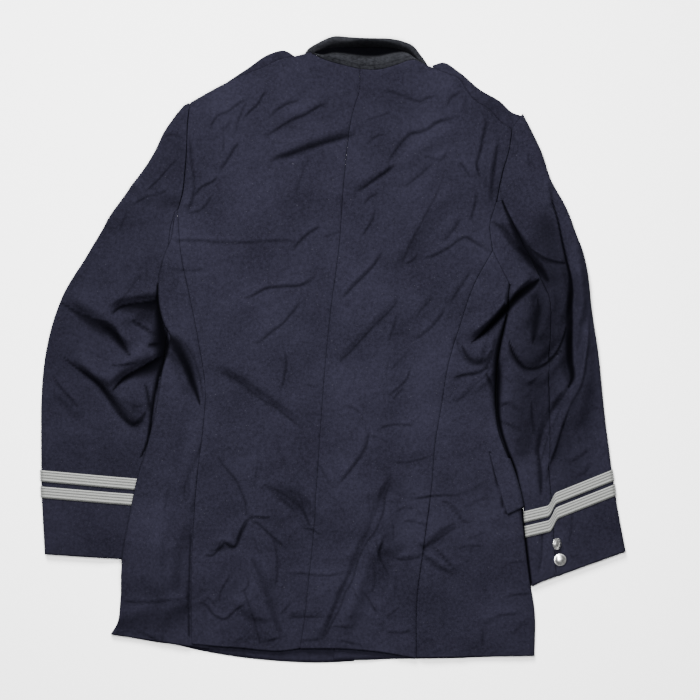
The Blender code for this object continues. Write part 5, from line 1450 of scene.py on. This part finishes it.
@dataclass
class Body:
    """The back, side bodies and fronts, lying on each other."""

    lay: Lay
    seam: float = 0.16
    under_seam: float = 0.9
    vent_lap: float = 24.0
    rows: int = 400
    columns: int = 100

    def top_sheet(self, name: str, plan: Array) -> Piece:
        """Return a back panel over a plan grid, dipping towards its seams."""
        x, y = plan[..., 0], plan[..., 1]
        height = self.lay.back_top(x, y) - groove(plan)
        skin = np.dstack((plan, height))
        return Piece(name, skin, hollow=shade_of(BODY_CREASES + BODY_SHADES, skin))

    def backs(self) -> list[Piece]:
        """The two back panels, sewn at the centre back."""
        up = np.linspace(0, 1, self.rows)
        narrow = self.seam / 2 * (1 - 0.9 * ease(0.88, 0.94, up))
        gap = np.column_stack((narrow, 0.0 * up))
        centre = Line(CENTRE_BACK).at(up)
        pieces = []
        across = seam_spaced(self.columns, 190.0)
        plan = patch(Line(LEFT_HEM).at(across), Line(LEFT_SHOULDER, LEFT_NECK, 1 - NECK_SHARE).at(across),
                     Line(LEFT_SIDE, LEFT_ARMHOLE, UNDERARM_SHARE).at(up) + gap, centre - gap, across, up)
        pieces.append(self.top_sheet("back_left_cloth", plan))
        plan = patch(Line(RIGHT_HEM).at(across), Line(RIGHT_NECK, RIGHT_SHOULDER, NECK_SHARE).at(across),
                     centre + gap, Line(RIGHT_SIDE, RIGHT_ARMHOLE, UNDERARM_SHARE).at(up) - gap, across, up)
        pieces.append(self.top_sheet("back_right_cloth", plan))
        return pieces

    def side(self, side: Side) -> Piece:
        """A side body, wrapped round the folded edge and run on under the back at its vent."""
        way = side.value
        left = side is Side.LEFT
        seam = [(-192, -404)] + LEFT_SIDE[1:] if left else RIGHT_SIDE
        up = np.linspace(0, 1, 250)
        seam_top = Line(seam).at(up)
        lap = self.vent_lap * ease(self.lay.vent_top + 14, self.lay.vent_top - 10, seam_top[:, 1])
        seam_top[:, 0] += way * (lap - self.seam / 2)
        tail = np.column_stack((lap + 0.9, lap + 2.0, lap + 3.4, lap + 5.5))
        seam_under = Line(LEFT_UNDER if left else RIGHT_UNDER).at(up) - (way * self.under_seam / 2, 0.0)
        edge = (LEFT_EDGE if left else RIGHT_EDGE).at(up)

        def top(x: Array, y: Array) -> Array:
            """Return the side body's height, dipping towards its seam."""
            line = LEFT_SEAM if left else RIGHT_SEAM
            return self.lay.side_top(side, x, y) - np.exp(-((x - line.x_at(y)) / 1.6) ** 2)

        under = self.lay.left_under if left else self.lay.right_under
        wrap = Wrap(30, 7, 22)
        skin = wrap.skin(seam_top, edge, seam_under, top, under, tail=tail)
        return Piece(f"side_{side.word}_cloth", skin, hollow=shade_of(BODY_CREASES + BODY_SHADES, skin, wrap.upper))

    def front(self, side: Side) -> Piece:
        """A front, face down."""
        left = side is Side.LEFT
        up, across = np.linspace(0, 1, 150), np.linspace(0, 1, 50)
        under, armhole = (LEFT_UNDER, LEFT_ARMHOLE) if left else (RIGHT_UNDER, RIGHT_ARMHOLE)
        outer = Line(under, [under[-1], *armhole[1:]], UNDERARM_SHARE).at(up)
        outer = outer + (side.value * self.under_seam / 2, 0.0)
        opening, roll = (LEFT_OPENING, LEFT_ROLL) if left else (RIGHT_OPENING, RIGHT_ROLL)
        hem, shoulder = (FRONT_LEFT_HEM, LEFT_SHOULDER) if left else (FRONT_RIGHT_HEM, RIGHT_SHOULDER[::-1])
        plan = patch(Line(hem).at(across), Line(shoulder).at(across), outer,
                     Line(opening, roll, BREAK_SHARE).at(up), across, up)
        height = (self.lay.left_under if left else self.lay.right_under)(plan[..., 0], plan[..., 1])
        return Piece(f"front_{side.word}_cloth", np.dstack((plan, height)), outward=-1)

    def build(self) -> None:
        fronts = {side: self.front(side) for side in Side}
        for side, front in fronts.items():
            front.build()
            front.lay([f"lapel_{side.word}"])
        for piece, side in zip(self.backs(), Side):
            piece.build()
            piece.lay([f"front_{side.word}", f"side_{side.word}"])
        for side in Side:
            piece = self.side(side)
            piece.build()
            piece.lay([f"front_{side.word}"])


# Sleeve heads: the outer edge opposite each shared point of the armhole, from the shoulder down.
HEADS = {
    Side.LEFT: ((-203, 329), (-214, 316), (-229, 294), (-241, 269), (-255, 246), (-270, 226), (-284, 206),
                (-302, 181)),
    Side.RIGHT: ((256, 319), (264, 304), (274, 284), (283, 264), (289, 244), (295, 228), (304, 212),
                 (313, 196)),
}
# Sleeve sections from the underarm to the cuff: outer edge, inner edge and loft.
SECTIONS = {
    Side.LEFT: (
        (-312, 163, -215.5, 174, 5.0), (-324, 143, -216, 146, 5.0), (-337, 121, -213, 110, 5.0),
        (-361, 83, -213, 62, 5.0), (-375, 50, -215, 20, 5.0), (-390, -12, -221, -42, 4.5),
        (-395, -76, -228, -94, 4.0), (-395, -126, -234, -135, 3.5), (-394, -199, -242, -208, 3.0),
        (-390, -276, -250, -285, 3.0)),
    Side.RIGHT: (
        (321, 178, 226.6, 112, 6.5), (328, 158, 240, 88, 6.0), (338, 132, 238, 62, 6.0),
        (344, 102, 234, 34, 6.0), (348, 64, 229, 4, 6.0), (353, 30, 224, -30, 5.5),
        (359, -12, 222, -68, 5.0), (364, -60, 227, -112, 4.5), (368, -98, 238, -148, 4.0),
        (372, -130, 246, -174, 3.5), (382, -202, 258, -240, 3.0), (395, -272, 268, -318, 3.0)),
}
HIND_SEAMS = {
    Side.LEFT: Line([(-213, 190), (-220, 165), (-222, 110), (-222, 60), (-227, 0), (-238, -94), (-250, -200),
                     (-259, -285)]),
    Side.RIGHT: Line([(227, 204), (236, 184), (249, 156), (262, 130), (279, 98), (291, 72), (294, 30), (291, -30),
                      (292, -70), (292, -110), (291, -150), (295, -210), (301, -300)]),
}
ARMHOLES = {Side.LEFT: Line(LEFT_ARMHOLE), Side.RIGHT: Line(RIGHT_ARMHOLE)}
TUCKED = Line([(row[2], row[3]) for row in SECTIONS[Side.LEFT]])


@dataclass
class Sleeve:
    """A two-piece sleeve, flattened on the surface, in rows from the shoulder to the cuff."""

    side: Side
    arm_rows: int = 7
    finer: int = 9
    head_loft: float = 8.0
    tuck_top: float = 4.9
    forearm: float = 0.45
    seam: float = 0.16

    def __post_init__(self) -> None:
        """Lay out the rows between the outer and the inner edge."""
        left = self.side is Side.LEFT
        low_rows = 20 if left else 21
        shared = ARMHOLES[self.side].at(np.linspace(0, 1, self.arm_rows + 1))[::-1]
        shared = shared - (self.side.value * self.seam, 0.0)
        lower = Line.stretch(SECTIONS[self.side], np.linspace(0, 1, low_rows))
        head = np.array(HEADS[self.side], dtype=float)
        upper = np.column_stack((head, shared, np.full(len(head), self.head_loft)))
        coarse = np.vstack((upper, lower))
        where = np.linspace(0, len(coarse) - 1, (len(coarse) - 1) * self.finer + 1)
        rows = smooth(coarse, np.arange(len(coarse), dtype=float), where)
        self.outer, self.inner, self.loft = rows[:, 0:2], rows[:, 2:4], rows[:, 4]
        armhole, y = ARMHOLES[self.side], self.inner[:, 1]
        (_, y_first), (_, y_last) = armhole.points[0], armhole.points[-1]
        self.inner[:, 0] = np.where((y > y_first) & (y < y_last), armhole.x_at(y) - self.side.value * self.seam,
                                    self.inner[:, 0])
        if not left:
            y = self.inner[:, 1]
            flap = ease(-143.5, -146.5, y) - ease(-214, -224, y)
            (x_low, y_low), (x_high, y_high) = RIGHT_EDGE_TOP, RIGHT_ARMHOLE[0]
            straight = x_high + (y_high - y) / (y_high - y_low) * (x_low - x_high)
            beside = np.where(y < y_low, RIGHT_EDGE.x_at(y), straight) + 0.3 + 2.4 * flap
            self.inner[:, 0] = np.where(y < 133, beside, self.inner[:, 0])
        self.count = len(rows)
        self.underarm = (8 if left else 9) * self.finer
        self.width = np.linalg.norm(self.inner - self.outer, axis=1)
        self.hind = self.seam_share()
        self.first_hind = max(int(np.argmax(self.hind < 1.0)) - 1, 0)
        self.hind = np.minimum(self.hind, 1 - 0.9 / self.width)

    def seam_share(self) -> Array:
        """Return the share of the width at which each row crosses the hind-arm seam."""
        even = np.linspace(0, 1, 300)
        fine, shares = HIND_SEAMS[self.side].at(even), even[:, None]
        result = np.ones(self.count)
        for row in range(self.count):
            line = self.outer[row] + shares * (self.inner[row] - self.outer[row])
            away = np.hypot(line[:, None, 0] - fine[None, :, 0], line[:, None, 1] - fine[None, :, 1])
            best = np.unravel_index(np.argmin(away), away.shape)
            if away[best] < 3.0 and best[1] > 0:
                result[row] = shares[best[0], 0]
        return result

    def across(self, share: Array | float) -> Array:
        """Return each row's plan point at a share of the way to its inner edge."""
        share = np.broadcast_to(share, (self.count,))[:, None]
        return self.outer + share * (self.inner - self.outer)

    def under(self, x: Array, y: Array) -> Array:
        """Outer height of the under side, lifted by the braid round the cuff."""
        return (BRAID + TRIM_CLEAR) * ease(-104, -126, y) + 0.0 * x

    def flat_top(self, x: Array, y: Array) -> Array:
        """Outer height of the upper side with the large folds alone, on which the braid lies."""
        loft = np.interp(y, self.outer[::-1, 1], self.loft[::-1])
        folds = sum(fold.height(x, y) for fold in SLEEVE_FOLDS[self.side])
        height = self.under(x, y) + 2 * CLOTH + np.maximum(loft + folds, CLEAR)
        if self.side is Side.LEFT:
            inside = ease(-34, -7, x - LEFT_EDGE.x_at(y)) * ease(212, 189, y)
            height = height + (self.tuck_top + self.under(x, y) - height) * inside
        return height

    def top(self, x: Array, y: Array) -> Array:
        """Outer height of the upper side, with its creases and its seam."""
        creases = sum(crease.height(x, y) for crease in SLEEVE_CREASES[self.side])
        line = HIND_SEAMS[self.side]
        seam = np.exp(-((x - line.x_at(y)) / 1.7) ** 2)
        if self.side is Side.RIGHT:
            seam = seam * (1 - 0.85 * ease(75, 55, y) * ease(-30, -10, y))
        lively = ease(-150, -90, y)
        fine = 0.3 * ripples(x + 400, y) + 0.45 * wrinkles(x + 400, y)
        return self.flat_top(x, y) + creases - 0.8 * seam + fine * lively

    def pieces(self) -> list[Piece]:
        """The top sleeve round the outer edge and the under sleeve round the inner edge."""
        half = self.seam / 2 / self.width
        left = self.side is Side.LEFT
        places = SLEEVE_CREASES[self.side] + SLEEVE_SHADES[self.side]
        wrap = Wrap(64 if left else 44, 7, 20)
        skin = wrap.skin(self.across(self.hind - half), self.outer, self.across(self.forearm - half),
                         self.top, self.under)
        top = Piece(f"sleeve_{self.side.word}_top_cloth", skin, hollow=shade_of(places, skin, wrap.upper))
        wrap = Wrap(6 if left else 28, 7, 20)
        skin = wrap.skin(self.across(self.hind + half), self.inner, self.across(self.forearm + half),
                         self.top, self.under, opened=np.arange(self.count) < self.underarm,
                         lip=0.0 if left else 1.5)
        # No cloth over the body beside the head, and no edge along the armhole.
        keep = np.ones((self.count - 1, skin.shape[1] - 1), dtype=bool)
        keep[:self.first_hind, :wrap.on_top - 1] = False
        keep[:self.underarm - 1, wrap.on_top - 1:wrap.on_top + wrap.round_edge] = False
        under = Piece(f"sleeve_{self.side.word}_under_cloth", skin, keep=keep,
                      hollow=shade_of(places, skin, wrap.upper))
        return [top, under]

    def up_from_cuff(self, edge: Array, distance: Array) -> Array:
        """Return points of an edge at distances up from the cuff end."""
        edge = edge[::-1]
        reach = np.concatenate(([0.0], np.cumsum(np.linalg.norm(np.diff(edge, axis=0), axis=1))))
        return np.column_stack([np.interp(distance, reach, edge[:, k]) for k in (0, 1)])


@dataclass
class CuffBraid:
    """The two braid bands round a cuff, laid on the sleeve's own surface."""

    sleeve: Sleeve
    width: float = BRAID_WIDTH
    step_at: float = 0.625

    def band(self, name: str, outer_up: float, inner_up: float) -> Piece:
        """Make one closed band.

        Args:
            name: Which of the two bands it is.
            outer_up: Distance of its upper edge from the cuff end at the sleeve's outer edge.
            inner_up: The same at the inner edge.

        Returns:
            The band's piece.
        """
        sleeve = self.sleeve
        left = sleeve.side is Side.LEFT
        down_by, step = (0.0, 0.0) if left else (-5.0, 15.0)
        rows = np.linspace(0, self.width, 9)
        outer = sleeve.up_from_cuff(sleeve.outer, outer_up - rows)
        inner = sleeve.up_from_cuff(sleeve.inner, inner_up - rows)
        middle = outer + self.step_at * (inner - outer)
        down = (sleeve.outer[-1] - outer[0]) / np.linalg.norm(sleeve.outer[-1] - outer[0])
        middle_outer, jump = middle + down * down_by, down * step
        out = TRIM_CLEAR + BRAID

        def step_down(share: Array, on_top: bool) -> Array:
            """Return the shift that lets the band down past the vent."""
            return ease(0.66, 1.0, share)[..., None] * (-jump if on_top else 0 * jump)

        far = np.linalg.norm(inner - middle_outer - jump, axis=1)
        tail = np.outer(far, (0.05, 0.10, 0.15, 0.20))
        one = Wrap(40, 7, 24).skin(middle_outer, outer, middle, sleeve.flat_top, sleeve.under, out)
        two = Wrap(26, 7, 20).skin(middle_outer + jump, inner, middle, sleeve.flat_top, sleeve.under, out,
                                   tail=tail, shift=step_down)
        skin = np.concatenate((one, two[:, ::-1][:, 1:]), axis=1)
        skin[:, -1] = skin[:, 0]
        return Piece(f"braid_{sleeve.side.word}_{name}_cloth", skin, Slot.BRAID, wall=BRAID, ring=True)

    def build(self) -> list[bpy.types.Object]:
        """Make both bands and return them."""
        ups = ((114.0, 109.5), (92.0, 88.5)) if self.sleeve.side is Side.LEFT else ((112.0, 101.0), (92.0, 81.0))
        return [self.band(name, *up).build() for name, up in zip(("upper", "lower"), ups)]


@dataclass
class Plates:
    """The lapels, epaulettes and the left pocket flap, flat on the surface, and the right flap."""

    lay: Lay

    LAPELS = {
        Side.LEFT: ((53, 100, 44, 96), (35, 168, -18, 152), (5, 268, -72, 234), (-8, 310, -86, 284)),
        Side.RIGHT: ((54, 152, 62, 148), (64, 182, 104, 166), (92, 270, 168, 236), (102, 302, 180, 276)),
    }
    EPAULETTES = {
        Side.LEFT: ((-187, 333, -170, 296), (-146, 361, -126, 320), (-116, 381, -98, 336),
                    (-85, 401, -70, 352), (-66, 405, -58, 362), (-50, 396, -54, 384)),
        Side.RIGHT: ((255.5, 316.5, 244, 297), (242, 321.5, 219, 284), (226, 336, 196, 298),
                     (199, 352, 172, 314), (169, 377, 150, 332), (148, 389, 140, 350), (134, 385, 136, 366)),
    }
    LEFT_FLAP = ((-204, -206, -62, -212), (-206, -182, -60, -188), (-208, -158, -58, -164),
                 (-209, -146, -57, -152))
    FLAP_REAR = Line([(235, -222), (228, -200), (219, -170), (211, -139)])
    FLAP_FRONT = Line([(108, -212), (106, -190), (104, -166), (102, -140)])
    FLAP_SPAN = (-212, -146)

    @staticmethod
    def plate(name: str, sections: Sequence[tuple[float, ...]], rows: int, columns: int) -> Piece:
        """Return a thin flat piece with rounded edges, from its two long sides.

        Args:
            name: Name of the piece.
            sections: Rows of the first side's and the second side's plan points.
            rows: Number of rows.
            columns: Number of columns.

        Returns:
            The piece, whose upper face lies PLATE over the surface.
        """
        cut = Line.stretch(sections, np.linspace(0, 1, rows))
        plan = between(cut[:, 0:2], cut[:, 2:4], columns)
        from_side = np.minimum(np.arange(columns), np.arange(columns)[::-1])[None, :]
        from_end = np.minimum(np.arange(rows), np.arange(rows)[::-1])[:, None]
        rim = 0.35 * np.exp(-np.minimum(from_side, from_end).astype(float))
        return Piece(name, np.dstack((plan, PLATE - rim)), wall=PLATE - 0.4)

    def right_flap(self) -> Piece:
        """The right pocket flap, wrapped round the body's edge."""
        where = np.linspace(0, 1, 34)
        y = np.linspace(*self.FLAP_SPAN, 34)
        edge = np.column_stack((RIGHT_EDGE.x_at(y), y))
        skin = Wrap(12, 7, 40).skin(self.FLAP_REAR.at(where), edge, self.FLAP_FRONT.at(where),
                                    self.lay.back_top, self.lay.right_under, TRIM_CLEAR + FLAP)
        return Piece("pocket_flap_right_cloth", skin, wall=FLAP)

    def build(self) -> list[bpy.types.Object]:
        """Make all of them and return them."""
        pieces = [self.plate(f"lapel_{side.word}_cloth", rows, 40, 24) for side, rows in self.LAPELS.items()]
        pieces += [self.plate(f"epaulette_{side.word}_cloth", rows, 60, 20)
                   for side, rows in self.EPAULETTES.items()]
        pieces += [self.plate("pocket_flap_left_cloth", self.LEFT_FLAP, 24, 50), self.right_flap()]
        for piece in pieces:
            piece.build()
            piece.lay()
        return [piece.made for piece in pieces]


@dataclass
class Collar:
    """The turned-up collar: the stand from the neck seam to the roll, and the leaf beyond it."""

    neck_height: float = 10.5
    roll_height: float = 4.3
    leaf_height: float = 13.0
    crest: float = 3.0

    # Outer and inner plan point, how far the leaf stands up there, and the share at which its painted shade ends.
    LEAF = (
        (-68, 305, -14, 322, 0.0, 0.0), (-52, 340, -22, 350, 0.0, 0.0), (-44, 374, -30, 376, 0.0, 0.0),
        (-41, 396, -36, 393, 0.0, 0.0), (-35, 406, -25, 398.5, 0.15, 0.3), (-20, 415, -12, 402, 0.7, 0.42),
        (1, 423, 4, 406, 1.0, 0.48), (22, 422, 22, 406, 1.0, 0.60), (40, 421, 40, 406, 1.0, 0.86),
        (62, 420.5, 60, 406, 1.0, 0.82), (76, 420, 74, 405.6, 1.0, 0.66), (95, 416, 90, 402.5, 1.0, 0.52),
        (107, 411, 101, 398.5, 0.8, 0.48), (117, 400, 109.5, 392, 0.4, 0.42), (129, 381, 122, 379, 0.0, 0.0),
        (128, 360, 117, 362, 0.0, 0.0), (136, 334, 112, 340, 0.0, 0.0), (162, 297, 105, 314, 0.0, 0.0))
    # Neck and roll plan point, how far the stand bulges there, and the share at which the painted shade begins.
    STAND = (
        (-29, 401.2, -28.4, 402, 0.2, 0.5), (-15, 392.8, -13.7, 404.8, 0.7, 0.5),
        (-4, 388.8, -4, 407.6, 0.9, 0.62), (21, 382.3, 22, 409.2, 1.0, 0.62), (36, 378.8, 38, 409.2, 1.0, 0.59),
        (61, 378.3, 62, 409.2, 1.0, 0.59), (85, 384.3, 86, 406.6, 0.9, 0.76), (97, 387.8, 95, 404.2, 0.7, 0.86),
        (108, 391.2, 103, 400.6, 0.4, 0.86), (116, 389.4, 112, 393.4, 0.2, 0.8))

    def stand(self) -> Piece:
        """The undercollar, which bulges beyond the neck seam and then drops down to the roll."""
        cut = Line.stretch(self.STAND, np.linspace(0, 1, 160))
        share = np.linspace(0, 1, 48)[None, :]
        bulge, dark = cut[:, 4:5], cut[:, 5:6]
        hump = self.neck_height + self.crest * bulge * np.sin(math.pi * np.minimum(share / dark, 1.0))
        drop = ease(0.0, 1.0, (share - dark + 0.16) / 0.30)
        height = hump + (self.roll_height - hump) * drop
        plan = between(cut[:, 0:2], cut[:, 2:4], 48)
        # depth is painted shade in the valley down to the roll, seam the dark lines of the neck seam and its
        # stitching.
        depth = ease(0.0, 1.0, (share - dark + 0.07) / 0.16) * ease(0.1, 0.4, bulge)
        away = share * np.linalg.norm(cut[:, 2:4] - cut[:, 0:2], axis=1)[:, None]
        seam = 0.6 * np.exp(-(away / 0.9) ** 2) + 0.4 * np.exp(-((away - 6.0) / 0.8) ** 2)
        return Piece("collar_stand_cloth", np.dstack((plan, height)), Slot.MELTON,
                     hollow=np.maximum(depth, seam))

    def leaf(self) -> Piece:
        """The leaf beyond the roll, whose ends lie flat under the fronts."""
        cut = Line.stretch(self.LEAF, np.linspace(0, 1, 300))
        share = np.linspace(0, 1, 26)[None, :]
        climb = np.clip((share - 0.24) / 0.76, 0, 1)
        rolled = (self.leaf_height - PLATE) * np.sin(math.pi * 0.64 * climb)
        height = PLATE + rolled * np.clip(cut[:, 4:5], 0, 1)
        plan = between(cut[:, 2:4], cut[:, 0:2], 26)
        lit = cut[:, 5:6]
        # Painted shade over the leaf from the roll outwards, paler towards where it gets light, none beyond.
        dark = np.where(lit > 0, 0.97 - 0.35 * np.minimum(share / np.maximum(lit, 0.01), 1.0), 0.0)
        dark = dark * ease(0.0, 1.0, (lit + 0.1 - share) / 0.16)
        return Piece("collar_leaf_cloth", np.dstack((plan, height)), Slot.MELTON, hollow=dark)

    def build(self) -> None:
        for piece in (self.leaf(), self.stand()):
            piece.build()
            piece.lay()


@dataclass
class Button:
    """A plain domed metal button with a rolled rim, turned round its axis."""

    name: str
    place: tuple[float, float]
    radius: float
    height: float
    lean: float = 0.0

    # Radius and height of the turned outline, as shares of the button's own.
    OUTLINE = ((0.0, 0.0), (0.90, 0.0), (0.97, 0.06), (1.0, 0.18), (0.985, 0.30), (0.93, 0.38), (0.87, 0.36),
               (0.82, 0.40), (0.70, 0.62), (0.54, 0.80), (0.34, 0.93), (0.16, 0.985), (0.0, 1.0))

    def build(self, base: float) -> bpy.types.Object:
        """Turn the button and seat it.

        Args:
            base: Height of the middle of its base.

        Returns:
            The finished object.
        """
        mesh_data = bmesh.new()
        points = [mesh_data.verts.new((r * self.radius * MM, 0, z * self.height * MM)) for r, z in self.OUTLINE]
        edges = [mesh_data.edges.new(pair) for pair in zip(points[:-1], points[1:])]
        bmesh.ops.spin(mesh_data, geom=points + edges, axis=(0, 0, 1), cent=(0, 0, 0), angle=2 * math.pi,
                       steps=40, use_merge=True)
        bmesh.ops.remove_doubles(mesh_data, verts=mesh_data.verts, dist=1e-6)
        bmesh.ops.recalc_face_normals(mesh_data, faces=mesh_data.faces)
        turn = math.radians(self.lean)
        for point in mesh_data.verts:
            x, z = point.co.x, point.co.z
            point.co.x = x * math.cos(turn) + z * math.sin(turn) + (self.place[0] + PLAN_SHIFT[0]) * MM
            point.co.y += (self.place[1] + PLAN_SHIFT[1]) * MM
            point.co.z = z * math.cos(turn) - x * math.sin(turn) + base * MM
        mesh = bpy.data.meshes.new(self.name)
        mesh_data.to_mesh(mesh)
        mesh_data.free()
        mesh.shade_smooth()
        mesh.materials.append(FINISH[Slot.BUTTONS].material())
        made = put(self.name + "_metal", mesh)
        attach(made, "root")
        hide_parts(self.name)
        return made


@dataclass
class Buttons:
    """Two buttons at each cuff vent and four down the left front."""

    sleeves: dict[Side, Sleeve]

    CUFFS = {
        Side.LEFT: (Button("cuff_button_left_1", (-262, -256), 8.0, 2.8),
                    Button("cuff_button_left_2", (-263, -274), 8.0, 2.8)),
        Side.RIGHT: (Button("cuff_button_right_1", (301, -261), 8.0, 4.4, 38.0),
                     Button("cuff_button_right_2", (306, -283), 8.4, 4.4)),
    }
    FRONTS = tuple(Button(f"front_button_{number}", place, 11.0, 3.0)
                   for number, place in enumerate(((41, 52), (33, -36), (26, -124), (20, -212)), start=1))

    def seat(self, side: Side, button: Button) -> float:
        """Return the height of a button's base that keeps its rim clear of the sleeve."""
        turns = np.linspace(0, 2 * math.pi, 14)
        x = np.append(button.place[0] + button.radius * np.cos(turns), button.place[0])
        y = np.append(button.place[1] + button.radius * np.sin(turns), button.place[1])
        rise = button.radius * math.sin(math.radians(button.lean))
        return float(self.sleeves[side].flat_top(x, y).max()) + CLEAR + rise

    def build(self) -> None:
        """Make all of them."""
        for side, buttons in self.CUFFS.items():
            for button in buttons:
                button.build(self.seat(side, button))
        for button in self.FRONTS:
            button.build(0.0)
        LOG.info("buttons ready")


def corners() -> list[list[float]]:
    """Return the lowest and highest corner of the shown object as plain lists."""
    return [[float(number) for number in corner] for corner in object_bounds()]


def main() -> None:
    """Dress the frame and set up the studio."""
    logging.basicConfig(level=logging.INFO, format="%(name)s: %(message)s")
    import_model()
    Studio().build()
    lay = Lay()
    Body(lay).build()
    sleeves = {side: Sleeve(side) for side in Side}
    for side, sleeve in sleeves.items():
        bands = CuffBraid(sleeve).build()
        top, under = sleeve.pieces()
        top.build()
        top.lay(trims=bands)
        under.build()
        under.lay()
        LOG.info("sleeve %s ready", side.word)
    Plates(lay).build()
    Collar().build()
    Buttons(sleeves).build()


if __name__ == "__main__":
    main()
